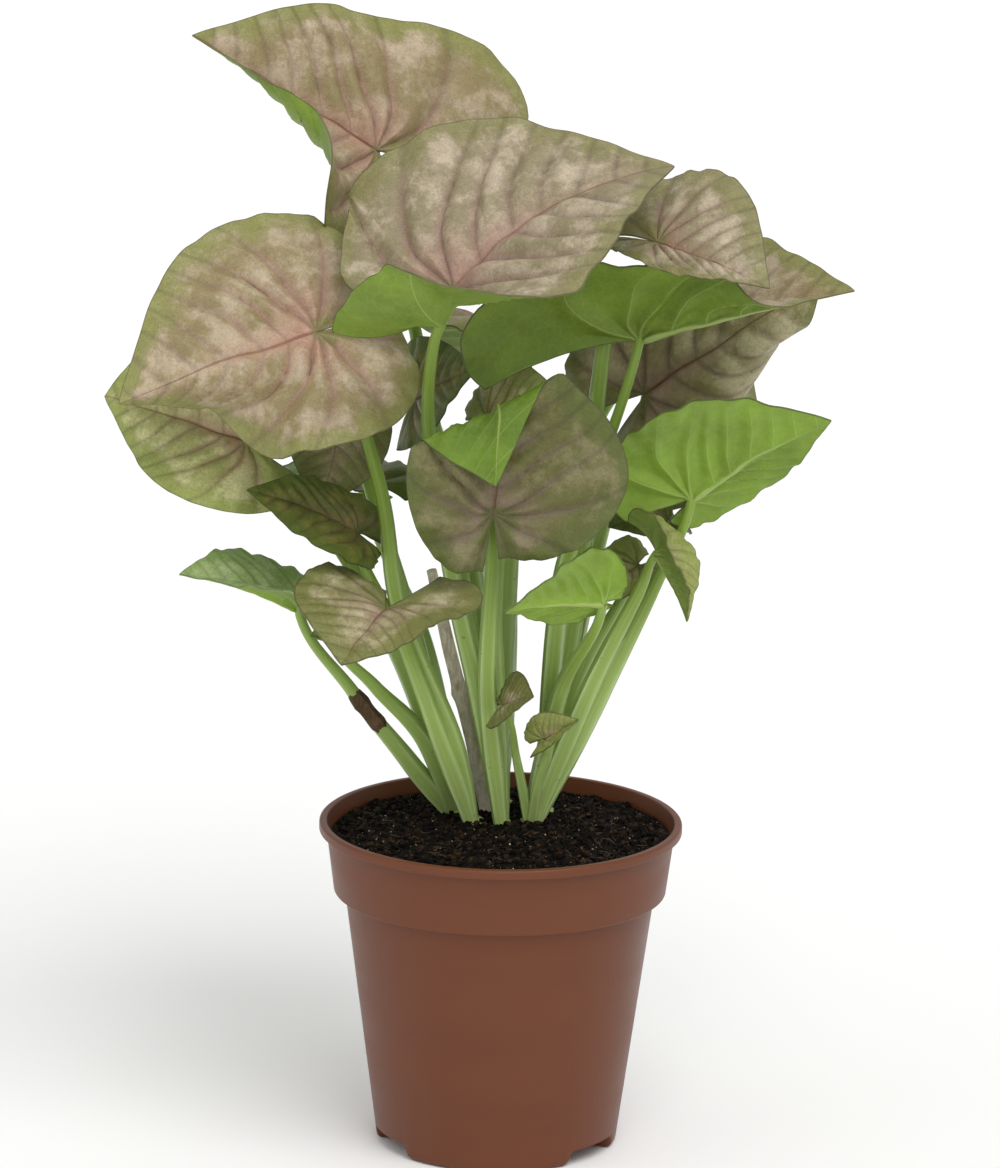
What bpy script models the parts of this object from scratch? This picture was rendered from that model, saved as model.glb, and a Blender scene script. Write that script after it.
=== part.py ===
"""An arrowhead plant in a round plastic nursery pot.

Every leaf blade follows one flat arrowhead outline, which is bent, folded and rippled by the values of its
row in BLADES. The petioles of each leafy shoot grow from one short stem and are joined with it in one solid.
Lengths in the constants are millimetres, and angles are degrees. X runs to the right of the plant's front,
Y to its back and Z up, with the origin in the middle of the pot's floor.
"""

import math
from dataclasses import dataclass

import bmesh
import bpy
import numpy as np
from mathutils import Vector

MM = 0.001
# Points closer than this, in metres, are one
MERGE = 0.00001
SMOOTH_ANGLE = 40.0

# Pot: a 12 cm injection moulded nursery pot
POT_SIDES = 64
POT_HEIGHT = 109.4
LIP_RADIUS = 60.0
LIP_HEIGHT = 3.2
LIP_WIDTH = 2.6
COLLAR_TOP_RADIUS = 57.6
COLLAR_BOTTOM_RADIUS = 55.0
COLLAR_BOTTOM_Z = 86.2
STEP_HEIGHT = 1.6
BODY_TOP_RADIUS = 51.2
BODY_BOTTOM_RADIUS = 40.0
BOTTOM_EDGE_RADIUS = 2.0
WALL = 1.3
FOOT_HEIGHT = 4.8
FOOT_CENTRES = (-95.0, 25.0, 145.0)
FOOT_GAP_ANGLE = 34.0
FOOT_INNER_RADIUS = 34.6
FLOOR_DISC_RADIUS = 12.0
FLOOR_THICKNESS = 1.8
POT_FLOOR_TOP = FOOT_HEIGHT + FLOOR_THICKNESS
DRAIN_HOLES = 6
DRAIN_RING_RADIUS = 24.0
DRAIN_RADIUS = 3.5
DRAIN_SIDES = 12
# Lengths of the cutters of drain holes and of stem holes, and the sides of a foot gap's arc
DRAIN_CUT = 30.0
STEM_CUT = 50.0
GAP_SIDES = 5

# Potting soil: its top edge, the rise to the middle and the bumps on it
SOIL_EDGE_Z = 104.6
SOIL_RISE = 2.2
SOIL_SIDES = 40
SOIL_RINGS = (0.94, 0.8, 0.62, 0.42, 0.2)
SOIL_BUMP = 0.7
SOIL_CLEARANCE = 0.3
HOLE_CLEARANCE = 0.5
HOLE_SIDES = 20

# Shoots: the short stem of each, and how far it goes into the soil
STEM_BOTTOM_Z = 92.0
STEM_TOP_Z = 108.0
STEM_SIDES = 12
STEM_ROUND = 2.0
STEM_END = 0.6
PETIOLE_SIDES = 7
PETIOLE_STEPS = 9
PETIOLE_FOOT_Z = 100.0
# How far down a petiole's course starts, and how strongly it turns into the blade and runs on under it
FOOT_RUN = 30.0
TURN_UP = 0.8
TURN_ON = 0.6
# Along a petiole: where its sheath has swelled, and where it starts to taper
SHEATH_RUN = 0.22
SHEATH_END = 0.18

# Blades: their columns crowd to the midrib and their rings to the margin by these powers
COLUMN_POWER = 1.25
RING_POWER = 0.85
BLADE_THICKNESS = 0.8
RIB_DEPTH = 1.1
BLADE_GAP = 0.35
SINUS_ANGLE = 162.0
# Over a blade's length: its lobes behind the petiole, its half width, and where tip_bend and ripples start
LOBE_LENGTH = 0.45
HALF_WIDTH = 0.55
TIP_BEND_START = 0.48
TIP_BEND_RUN = 0.2
RIPPLE_START = 0.15
# Angles over which the value for lobes comes in, the waves in one turn of the margin, and steps of a bend
LOBE_START = 60.0
LOBE_RUN = 80.0
RIPPLES = 4.0
BEND_STEPS = 16
# Half of the flat outline: angle from the tip's direction, and distance from the petiole over the length
OUTLINE = ((0, 1.0), (9, 0.88), (24, 0.77), (45, 0.69), (66, 0.62), (90, 0.56), (115, 0.53), (138, 0.50),
           (162, 0.40))

SHOOT_BASES = {
    "shoot_1": (-15.0, 23.0, 5.6),
    "shoot_2": (-8.7, 8.0, 4.6),
    "shoot_3": (0.6, 6.0, 4.2),
    "shoot_4": (9.8, 9.0, 4.7),
    "shoot_5": (13.0, 25.0, 5.4),
    "shoot_6": (-1.0, 33.0, 5.8),
}

OLD_STEM_BASE = (-4.5, 19.5, 2.8)
OLD_STEM_COURSE = ((-10, 16, 133), (-18, 12, 165), (-24, 9, 192))


@dataclass
class Blade:
    """One leaf: its blade's place, size and bends, and the shoot and course of its petiole."""
    name: str
    shoot: str
    attach: tuple           # where the petiole meets the blade
    tip: tuple              # where the tip is before tip_bend
    face: tuple             # the way the upper side looks
    width: tuple = (1.0, 1.0)
    bend: float = 20.0      # how much the midrib arches from petiole to tip
    tip_bend: float = 0.0   # extra bend of the outer half, down if positive
    tip_slant: tuple = (0.0, 0.0)   # how far tip_bend's line runs outwards to the right, over the width
    fold: tuple = (10, 10)  # how far the left and right halves rise from the midrib
    curl: tuple = (0, 0)    # how much more they turn by their margins
    lobes: tuple = (1.0, 1.0)
    sinus: float = SINUS_ANGLE
    droop: tuple = (20, 20)
    ripple: float = 1.2     # height of the margin's waves
    rolls: tuple = ()       # side, angle, reach, start and turn of each rolled stretch of margin
    course: tuple = ()      # points of the petiole between its foot and the blade
    radii: tuple = (2.2, 3.5, 1.6)
    columns: int = 16
    rings: int = 4


BLADES = (
    # The high leaf, whose left margin rolls over its midrib
    Blade("leaf_high", "shoot_6", (-44, 32, 328), (-104, 15, 369), (0.3, -0.8, 0.5), width=(0.9, 1.0),
          bend=4, fold=(5, -4), lobes=(1.0, 1.7), droop=(0, 0), rolls=((-1, 25, 60, 0.1, 140),),
          course=((-14, 34, 180), (-30, 42, 262)), columns=20, rings=5),
    # The large middle leaf, whose near lobe stands up and shows its underside
    Blade("leaf_middle", "shoot_3", (-18, -35, 297), (53, -14, 334), (-0.42, -0.2, 0.88), width=(1.1, 1.0),
          bend=40, fold=(22, -9), curl=(20, 0), lobes=(1.2, 1.5), rolls=((1, 150, 95, 0.0, 115),),
          droop=(-70, -40), course=((-7.5, 0, 150), (-16, -8, 189), (-25, -20, 244), (-24, -30, 277)),
          columns=20, rings=5),
    # The leaves on the left
    Blade("leaf_left", "shoot_2", (-62, -26, 280), (-125, -46, 260), (-0.1, -0.8, 0.6), width=(1.0, 1.15),
          fold=(-4, 4), rolls=((-1, 20, 42, 0.1, -150),), lobes=(1.1, 1.0), sinus=175,
          course=((-16, 0, 136), (-34, -10, 183), (-40, -15, 222), (-50, -20, 257)), columns=20, rings=5),
    Blade("leaf_left_low", "shoot_1", (-85, -8, 239), (-132, 10, 249), (-0.1, -0.95, 0.35),
          width=(0.85, 1.6), bend=35, ripple=1.8, course=((-30, 18, 150), (-55, 8, 200)), columns=18),
    Blade("leaf_left_inner", "shoot_1", (-54, 8, 243), (-60, 2, 214), (-0.1, -0.9, 0.3), fold=(-12, -12),
          course=((-28, 20, 160), (-42, 14, 210)), columns=12, rings=3),
    Blade("leaf_left_dark", "shoot_2", (-48, -13, 210), (-84, -29, 228), (-0.1, -0.6, 0.8),
          width=(0.9, 0.6), fold=(14, 8), lobes=(0.5, 1.0), course=((-26, -2, 157), (-39, -10, 184)),
          columns=18),
    Blade("leaf_left_front", "shoot_2", (-38, -44, 193), (-52, -68, 180), (-0.1, -0.5, 0.85),
          width=(1.2, 1.7), lobes=(1.8, 1.0), droop=(0, 20), course=((-21, -4, 140), (-33, -16, 175)),
          columns=16),
    Blade("leaf_lime_left", "shoot_1", (-67, -8, 183), (-106, -20, 197), (-0.1, -0.1, 0.95), fold=(18, 18),
          lobes=(0.4, 0.8), course=((-30, 15, 124), (-50, 5, 152)), columns=14),
    Blade("leaf_bud_left", "shoot_1", (-54, -15, 174), (-63, -21, 177), (0, -0.5, 0.8), fold=(40, 40),
          course=((-25, 10, 133), (-42, -2, 155)), columns=12, rings=3),
    # The curled leaf in front and the lime leaf under it
    Blade("leaf_front", "shoot_3", (-4, -44, 225), (-2, -44, 289), (0.05, -0.97, 0.2), width=(0.8, 1.2),
          bend=0, fold=(8, 8), lobes=(0.8, 0.62), sinus=172, tip_bend=-165, tip_slant=(0.34, 0.8),
          course=((-5, -6, 155), (-4, -25, 204)), columns=20, rings=5),
    Blade("leaf_lime_front", "shoot_4", (32, -29, 192), (0, -52, 194), (-0.2, 0.8, 0.6), width=(1.0, 0.6),
          fold=(10, 10), lobes=(0.4, 0.3), course=((19, 2, 153),), columns=16),
    # The leaves on the right
    Blade("leaf_right_under", "shoot_5", (43, 5, 272), (112, -15, 294), (-0.2, 0.85, 0.5),
          width=(1.0, 0.75), fold=(85, 0), lobes=(0.25, 1.85), rolls=((1, 12, 34, 0.0, -100),), bend=8,
          course=((18, 6, 182), (24, 3, 210), (32, 2, 234)), columns=20, rings=5),
    Blade("leaf_right_top", "shoot_5", (48, -16, 309), (84, -36, 299), (0.1, -0.7, 0.7),
          width=(1.25, 0.45), sinus=175, course=((24, 24, 180), (30, 12, 255), (34, 10, 276)), columns=16),
    Blade("leaf_right_brown", "shoot_5", (46, 50, 243), (103, 35, 286), (0.3, -0.8, 0.5), width=(0.8, 1.0),
          lobes=(0.9, 1.0), rolls=((1, 38, 40, 0.1, -150),), course=((26, 44, 170), (38, 62, 215)),
          columns=18),
    Blade("leaf_right_lime", "shoot_4", (61, 8, 218), (106, -4, 248), (-0.1, 0.8, 0.6), width=(0.6, 1.2),
          fold=(5, 5), lobes=(0.5, 1.0), droop=(20, -10), course=((32, 8, 150), (50, 8, 189)), columns=18),
    Blade("leaf_right_folded", "shoot_4", (50, -10, 204), (60, -22, 184), (0.9, -0.3, 0.3),
          width=(0.75, 0.7), fold=(44, 44), lobes=(1.4, 1.4), course=((28, 4, 152), (44, -2, 188)),
          columns=16, radii=(2.2, 3.5, 1.4)),
    Blade("leaf_right_dark", "shoot_5", (54, 27, 206), (34, 12, 207), (0, -0.4, 0.9), fold=(10, 10),
          lobes=(0.6, 0.6), course=((28, 32, 150), (50, 38, 186)), columns=14),
    Blade("leaf_right_grey", "shoot_5", (44, 27, 190), (29, 17, 180), (0, -0.5, 0.8), fold=(15, 15),
          course=((24, 24, 150),), columns=12, rings=3),
    # The young leaves near the soil
    Blade("leaf_young", "shoot_4", (0, -12, 152), (10, -22, 158), (0.1, -0.7, 0.7), width=(1.3, 1.3),
          lobes=(0.8, 0.8), ripple=0.2, course=((5, 0, 130),), radii=(1.6, 1.8, 0.9), columns=12, rings=3),
    Blade("leaf_young_folded", "shoot_4", (14, -6, 139), (25, -10, 147), (0.1, -0.7, 0.7), fold=(40, 40),
          ripple=0.5, course=((12, 0, 122),), columns=12, rings=3, radii=(1.6, 1.8, 0.9)),
    # The leaves in the heart of the plant
    Blade("leaf_heart_brown", "shoot_6", (-30, 24, 246), (-10, 4, 262), (0, -0.8, 0.6),
          course=((-12, 30, 170),), columns=16),
    Blade("leaf_heart_dark", "shoot_3", (-6, 12, 243), (18, -4, 255), (0, -0.7, 0.7),
          course=((-3, 8, 170),), columns=14),
    # The leaves at the back
    Blade("leaf_back_high", "shoot_6", (12, 55, 312), (48, 92, 306), (0.1, 0.2, 0.95), fold=(12, 12),
          bend=35, lobes=(0.8, 0.8), course=((2, 40, 200), (8, 50, 280)), columns=18),
    Blade("leaf_back_left", "shoot_6", (-52, 70, 286), (-96, 96, 276), (-0.2, 0.3, 0.9), fold=(10, 10),
          bend=40, course=((-12, 42, 190), (-32, 54, 250)), columns=18),
    Blade("leaf_back_middle", "shoot_6", (-8, 72, 262), (-16, 118, 240), (0, 0.5, 0.85), fold=(10, 10),
          bend=40, course=((-4, 46, 170), (-6, 60, 225)), columns=18),
    Blade("leaf_back_right", "shoot_5", (54, 78, 258), (86, 110, 242), (0.3, 0.4, 0.85), fold=(12, 8),
          bend=30, course=((20, 50, 170), (30, 78, 225)), columns=18),
    Blade("leaf_back_low", "shoot_6", (2, 76, 204), (8, 112, 190), (0.2, 0.4, 0.9), fold=(12, 12), bend=35,
          course=((2, 48, 160),), columns=16),
    Blade("leaf_back_low_left", "shoot_1", (-48, 48, 212), (-82, 68, 206), (-0.3, 0.3, 0.9), fold=(12, 12),
          bend=35, course=((-26, 34, 160),), columns=16),
)


def flat_outline(angle):
    """Distance from the petiole to the margin of the flat blade, along an angle from the tip's direction."""
    angles = [point[0] for point in OUTLINE]
    reaches = [point[1] for point in OUTLINE]
    return np.interp(np.abs(angle), angles, reaches)


def smooth(value):
    """A smooth step from 0 to 1."""
    value = np.clip(value, 0.0, 1.0)
    return value * value * (3.0 - 2.0 * value)


def blade_axes(blade):
    """The blade's length and its directions to the right, along the chord and out of its upper side."""
    chord = np.subtract(blade.tip, blade.attach)
    length = np.linalg.norm(chord)
    along = chord / length
    normal = np.array(blade.face, float)
    normal = normal - normal.dot(along) * along
    normal = normal / np.linalg.norm(normal)
    return length, np.cross(along, normal), along, normal


def blade_points(blade, angle, reach):
    """Points in millimetres on the upper side, for an angle each and a reach from 0 to 1 at the margin."""
    length, right, along, normal = blade_axes(blade)
    side = np.where(angle < 0, 0, 1)
    lobe = np.array(blade.lobes)[side]
    behind = smooth((np.abs(angle) - LOBE_START) / LOBE_RUN)
    radius = reach * flat_outline(angle) * (1.0 + (lobe - 1.0) * behind)
    u = radius * np.sin(np.radians(angle)) * np.array(blade.width)[side]
    v = radius * np.cos(np.radians(angle))

    # The midrib, followed from the petiole in small steps
    pitch_start = math.radians(blade.bend) / 2.0
    chord = math.sin(pitch_start) / pitch_start if pitch_start else 1.0
    droop = np.radians(np.array(blade.droop)[side])
    rib_y = np.zeros_like(u)
    rib_z = np.zeros_like(u)
    for step in range(BEND_STEPS + 1):
        at = v * (step + 0.5) / BEND_STEPS if step < BEND_STEPS else v
        forward = pitch_start * (1.0 - 2.0 * np.maximum(at, 0.0))
        bent = smooth((at - np.array(blade.tip_slant)[side] * u - TIP_BEND_START) / TIP_BEND_RUN)
        forward = forward - math.radians(blade.tip_bend) * bent
        pitch = forward + droop * np.maximum(-at, 0.0) / LOBE_LENGTH
        if step < BEND_STEPS:
            rib_y += np.cos(pitch) * v / BEND_STEPS
            rib_z += np.sin(pitch) * v / BEND_STEPS

    # The half blade, followed from the midrib to the point
    fold = np.radians(np.array(blade.fold)[side])
    curl = np.radians(np.array(blade.curl)[side])
    across = np.zeros_like(u)
    rise = np.zeros_like(u)
    out = np.abs(u)
    for step in range(BEND_STEPS):
        part = (step + 0.5) / BEND_STEPS
        turn = fold + curl * out * part / HALF_WIDTH
        for roll_side, centre, spread, start, amount in blade.rolls:
            near = smooth(1.5 - 1.5 * np.abs(angle - roll_side * centre) / spread)
            near = np.where(angle * roll_side >= 0, near, 0.0)
            turn = turn + math.radians(amount) * near * smooth((reach * part - start) / (1.0 - start))
        across += np.cos(turn) * out / BEND_STEPS
        rise += np.sin(turn) * out / BEND_STEPS
    across = np.where(angle < 0, -across, across)
    wave = np.sin(np.radians(angle) * RIPPLES)
    rise = rise + blade.ripple / length * reach ** 2 * wave * np.minimum(1.0, out / RIPPLE_START)

    # The place in the plant
    local_y = (rib_y - rise * np.sin(pitch)) / chord
    local_z = (rib_z + rise * np.cos(pitch)) / chord
    local_x = across / chord
    place = np.outer(local_x, right) + np.outer(local_y, along) + np.outer(local_z, normal)
    return np.array(blade.attach) + place * length


def petiole_end(blade):
    """Where the petiole stops under the blade, and the way the blade's upper side looks there."""
    _length, _right, along, normal = blade_axes(blade)
    pitch = math.radians(blade.bend) / 2.0
    up = normal * math.cos(pitch) - along * math.sin(pitch)
    below = BLADE_THICKNESS + RIB_DEPTH + BLADE_GAP
    return np.array(blade.attach) - up * below, up


def petiole_centres(blade, steps):
    """Points down the middle of a petiole, on a smooth curve through its course."""
    base_x, base_y, _radius = SHOOT_BASES[blade.shoot]
    end, up = petiole_end(blade)
    course = [np.array((base_x, base_y, PETIOLE_FOOT_Z))]
    course += [np.array(point, float) for point in blade.course]
    course.append(end)
    # Points beyond the ends give them their directions: up from the soil, and a soft turn into the blade
    first = course[0] - np.array((0.0, 0.0, FOOT_RUN))
    last_run = np.linalg.norm(course[-1] - course[-2])
    last = end + (up * TURN_UP + (course[-1] - course[-2]) / last_run * TURN_ON) * last_run
    points = [first] + course + [last]
    spans = len(course) - 1
    centres = []
    for step in range(steps + 1):
        place = step / steps * spans
        span = min(int(place), spans - 1)
        t = place - span
        a, b, c, d = points[span:span + 4]
        centres.append(0.5 * (2 * b + (c - a) * t + (2 * a - 5 * b + 4 * c - d) * t * t
                              + (3 * b - a - 3 * c + d) * t ** 3))
    return centres


def petiole_radius(blade, t):
    """Radius of a petiole from its foot (0) to the blade (1): it swells into a sheath above the soil."""
    foot, sheath, top = blade.radii
    taper = smooth((t - SHEATH_END) / (1.0 - SHEATH_END)) ** 0.8
    return foot + (sheath - foot) * smooth(t / SHEATH_RUN) + (top - sheath) * taper


def tube(bm, centres, radii, sides, end_normal=None):
    """A closed tube along centres. The last ring lies square to end_normal, if given."""
    made = bmesh.ops.create_grid(bm, x_segments=sides, y_segments=len(centres) - 1, size=1.0)["verts"]
    tangent = centres[1] - centres[0]
    across = np.cross(tangent, (0.0, 1.0, 0.0))
    rings = []
    for index, centre in enumerate(centres):
        low = centres[max(index - 1, 0)]
        high = centres[min(index + 1, len(centres) - 1)]
        tangent = (high - low) / np.linalg.norm(high - low)
        if end_normal is not None and index == len(centres) - 1:
            tangent = end_normal
        across = across - across.dot(tangent) * tangent
        across = across / np.linalg.norm(across)
        rings.append((centre, across, np.cross(tangent, across), radii[index]))
    for vert in made:
        column = round((vert.co.x + 1.0) / 2.0 * sides)
        row = round((vert.co.y + 1.0) / 2.0 * (len(centres) - 1))
        centre, across, up, radius = rings[row]
        turn = 2.0 * math.pi * (column % sides) / sides
        vert.co = Vector(centre + radius * (across * math.cos(turn) + up * math.sin(turn))) * MM
    bmesh.ops.remove_doubles(bm, verts=made, dist=MERGE)
    bmesh.ops.holes_fill(bm, edges=[edge for edge in bm.edges if edge.is_boundary], sides=sides)
    bmesh.ops.recalc_face_normals(bm, faces=bm.faces)


def material(name, colour, roughness):
    """A plain Principled material."""
    made = bpy.data.materials.new(name)
    made.use_nodes = True
    shader = made.node_tree.nodes["Principled BSDF"]
    shader.inputs["Base Color"].default_value = (*colour, 1.0)
    shader.inputs["Roughness"].default_value = roughness
    return made


def new_object(name, bm, finish):
    """Puts a finished bmesh in the scene as an object with one material."""
    mesh = bpy.data.meshes.new(name)
    bm.to_mesh(mesh)
    bm.free()
    mesh.materials.append(finish)
    mesh.shade_smooth()
    mesh.set_sharp_from_angle(angle=math.radians(SMOOTH_ANGLE))
    made = bpy.data.objects.new(name, mesh)
    bpy.context.scene.collection.objects.link(made)
    return made


def make_blade(blade, finish):
    """One blade: a polar grid round the petiole, bent to shape and thickened, its midrib raised below."""
    bm = bmesh.new()
    rib = bm.verts.layers.float.new("rib")
    made = bmesh.ops.create_grid(bm, x_segments=blade.columns, y_segments=blade.rings, size=1.0)["verts"]
    spread = np.array([vert.co.x for vert in made])
    angle = blade.sinus * np.sign(spread) * np.abs(spread) ** COLUMN_POWER
    reach = np.array([(vert.co.y + 1.0) / 2.0 for vert in made]) ** RING_POWER
    for vert, place, turn, far in zip(made, blade_points(blade, angle, reach), angle, reach):
        vert.co = Vector(place) * MM
        vert[rib] = 1.0 - far if abs(turn) < 1.0 or far == 0.0 else 0.0
    bmesh.ops.remove_doubles(bm, verts=bm.verts, dist=MERGE)
    bmesh.ops.triangulate(bm, faces=bm.faces, quad_method="SHORT_EDGE")
    # The grid's faces have to look the way of the upper side before the thickness goes below them
    _length, _right, _along, normal = blade_axes(blade)
    petiole = Vector(blade.attach) * MM
    near_petiole = min(bm.faces, key=lambda face: (face.calc_center_median() - petiole).length)
    if near_petiole.normal.dot(Vector(normal)) < 0:
        bmesh.ops.reverse_faces(bm, faces=bm.faces)
    upper = set(bm.verts)
    bmesh.ops.solidify(bm, geom=bm.faces[:], thickness=BLADE_THICKNESS * MM)
    _end, up = petiole_end(blade)
    for vert in bm.verts:
        if vert not in upper:
            vert.co -= Vector(up) * vert[rib] * RIB_DEPTH * MM
    bmesh.ops.triangulate(bm, faces=bm.faces)
    return new_object(blade.name, bm, finish)


def turned(name, profile, sides, finish):
    """A closed solid of revolution about Z from (radius, z) points that start and end on the axis."""
    bm = bmesh.new()
    verts = [bm.verts.new((radius * MM, 0.0, z * MM)) for radius, z in profile]
    edges = [bm.edges.new(pair) for pair in zip(verts, verts[1:])]
    bmesh.ops.spin(bm, geom=verts + edges, axis=(0, 0, 1), cent=(0, 0, 0), steps=sides, angle=2 * math.pi,
                   use_merge=True)
    bmesh.ops.remove_doubles(bm, verts=bm.verts, dist=MERGE)
    bmesh.ops.recalc_face_normals(bm, faces=bm.faces)
    return new_object(name, bm, finish)


def cutter(name, bm):
    """A hidden solid that is cut out of another."""
    made = new_object(name, bm, bpy.data.materials["cutter"])
    made.hide_render = True
    made.display_type = "WIRE"
    return made


def cut(target, tool):
    """Cuts one solid out of another."""
    step = target.modifiers.new(tool.name, "BOOLEAN")
    step.operation = "DIFFERENCE"
    step.object = tool
    step.solver = "EXACT"


def pot_inner_radius(z):
    """Inner radius of the pot at a height."""
    heights = (POT_FLOOR_TOP, COLLAR_BOTTOM_Z - STEP_HEIGHT, COLLAR_BOTTOM_Z, POT_HEIGHT - LIP_HEIGHT)
    radii = np.array((BODY_BOTTOM_RADIUS, BODY_TOP_RADIUS, COLLAR_BOTTOM_RADIUS, COLLAR_TOP_RADIUS)) - WALL
    return float(np.interp(z, heights, radii))


def make_pot(finish):
    """The pot: one moulded wall with a lip and collar, a floor with a middle pad, and three feet."""
    lip_bottom = POT_HEIGHT - LIP_HEIGHT
    profile = [(0, 0), (FLOOR_DISC_RADIUS, 0), (FLOOR_DISC_RADIUS + 1.0, FOOT_HEIGHT),
               (FOOT_INNER_RADIUS - 0.6, FOOT_HEIGHT), (FOOT_INNER_RADIUS, 0),
               (BODY_BOTTOM_RADIUS - BOTTOM_EDGE_RADIUS, 0), (BODY_BOTTOM_RADIUS, BOTTOM_EDGE_RADIUS),
               (BODY_TOP_RADIUS, COLLAR_BOTTOM_Z - STEP_HEIGHT), (COLLAR_BOTTOM_RADIUS, COLLAR_BOTTOM_Z),
               (COLLAR_TOP_RADIUS, lip_bottom), (LIP_RADIUS - 0.3, lip_bottom),
               (LIP_RADIUS, lip_bottom + 0.6),
               (LIP_RADIUS, POT_HEIGHT - 0.9), (LIP_RADIUS - 0.8, POT_HEIGHT),
               (LIP_RADIUS - LIP_WIDTH, POT_HEIGHT), (pot_inner_radius(lip_bottom), lip_bottom),
               (pot_inner_radius(COLLAR_BOTTOM_Z), COLLAR_BOTTOM_Z),
               (pot_inner_radius(COLLAR_BOTTOM_Z - STEP_HEIGHT), COLLAR_BOTTOM_Z - STEP_HEIGHT),
               (pot_inner_radius(POT_FLOOR_TOP), POT_FLOOR_TOP), (FLOOR_DISC_RADIUS, POT_FLOOR_TOP),
               (FLOOR_DISC_RADIUS - 1.0, FLOOR_THICKNESS), (0, FLOOR_THICKNESS)]
    pot = turned("pot", profile, POT_SIDES, finish)
    for index, foot in enumerate(FOOT_CENTRES):
        # Each gap lies halfway from this foot to the next, as a sector of a ring
        middle = math.radians(foot + 60.0)
        half = math.radians(FOOT_GAP_ANGLE / 2.0)
        bm = bmesh.new()
        inner, outer = FOOT_INNER_RADIUS - 3.0, BODY_BOTTOM_RADIUS + 5.0
        corners = ((inner, -2.0), (outer, -2.0), (outer, FOOT_HEIGHT), (inner, FOOT_HEIGHT))
        start = middle - half
        along, aside = math.cos(start), math.sin(start)
        verts = [bm.verts.new(Vector((r * along, r * aside, z)) * MM) for r, z in corners]
        face = bm.faces.new(verts)
        bmesh.ops.spin(bm, geom=[face], axis=(0, 0, 1), cent=(0, 0, 0), steps=GAP_SIDES, angle=2 * half,
                       use_duplicate=False)
        bmesh.ops.remove_doubles(bm, verts=bm.verts, dist=MERGE)
        bmesh.ops.holes_fill(bm, edges=[edge for edge in bm.edges if edge.is_boundary], sides=4)
        bmesh.ops.recalc_face_normals(bm, faces=bm.faces)
        cut(pot, cutter(f"foot_gap_{index}", bm))
    bm = bmesh.new()
    for hole in range(DRAIN_HOLES):
        turn = 2.0 * math.pi * hole / DRAIN_HOLES
        place = Vector((math.cos(turn), math.sin(turn), 0.0)) * DRAIN_RING_RADIUS * MM
        made = bmesh.ops.create_cone(bm, cap_ends=True, segments=DRAIN_SIDES, radius1=DRAIN_RADIUS * MM,
                                     radius2=DRAIN_RADIUS * MM, depth=DRAIN_CUT * MM)["verts"]
        bmesh.ops.translate(bm, verts=made, vec=place)
    cut(pot, cutter("drain_holes", bm))
    return pot


def make_soil(finish):
    """The root ball, with a rough domed top and a plain hole for each stem."""
    top_radius = pot_inner_radius(SOIL_EDGE_Z) - SOIL_CLEARANCE
    profile = [(0, POT_FLOOR_TOP + SOIL_CLEARANCE)]
    for z in (POT_FLOOR_TOP, COLLAR_BOTTOM_Z - STEP_HEIGHT, COLLAR_BOTTOM_Z):
        profile.append((pot_inner_radius(z) - SOIL_CLEARANCE, z + SOIL_CLEARANCE))
    profile.append((top_radius, SOIL_EDGE_Z))
    for ring in SOIL_RINGS:
        profile.append((top_radius * ring, SOIL_EDGE_Z + SOIL_RISE * (1.0 - ring ** 2)))
    profile.append((0, SOIL_EDGE_Z + SOIL_RISE))
    soil = turned("soil", profile, SOIL_SIDES, finish)
    draw = np.random.default_rng(12)
    for vert in soil.data.vertices:
        if vert.co.z > (SOIL_EDGE_Z + 0.1) * MM:
            vert.co.z += draw.uniform(-SOIL_BUMP, SOIL_BUMP) * MM
    for name, (base_x, base_y, radius) in (*SHOOT_BASES.items(), ("old_stem", OLD_STEM_BASE)):
        bm = bmesh.new()
        hole_radius = (radius + HOLE_CLEARANCE) * MM
        made = bmesh.ops.create_cone(bm, cap_ends=True, segments=HOLE_SIDES, radius1=hole_radius,
                                     radius2=hole_radius, depth=STEM_CUT * MM)["verts"]
        middle = STEM_BOTTOM_Z - HOLE_CLEARANCE + STEM_CUT / 2.0
        bmesh.ops.translate(bm, verts=made, vec=Vector((base_x, base_y, middle)) * MM)
        cut(soil, cutter("hole_" + name, bm))
    return soil


def make_old_stem(finish):
    """The grey old main stem, in the middle of the clump."""
    base_x, base_y, radius = OLD_STEM_BASE
    centres = [np.array((base_x, base_y, STEM_BOTTOM_Z)), np.array((base_x, base_y, STEM_TOP_Z))]
    centres += [np.array(point, float) for point in OLD_STEM_COURSE]
    radii = [radius, radius, radius * 0.85, radius * 0.8, radius * 0.6]
    bm = bmesh.new()
    tube(bm, centres, radii, STEM_SIDES)
    return new_object("old_stem", bm, finish)


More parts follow.
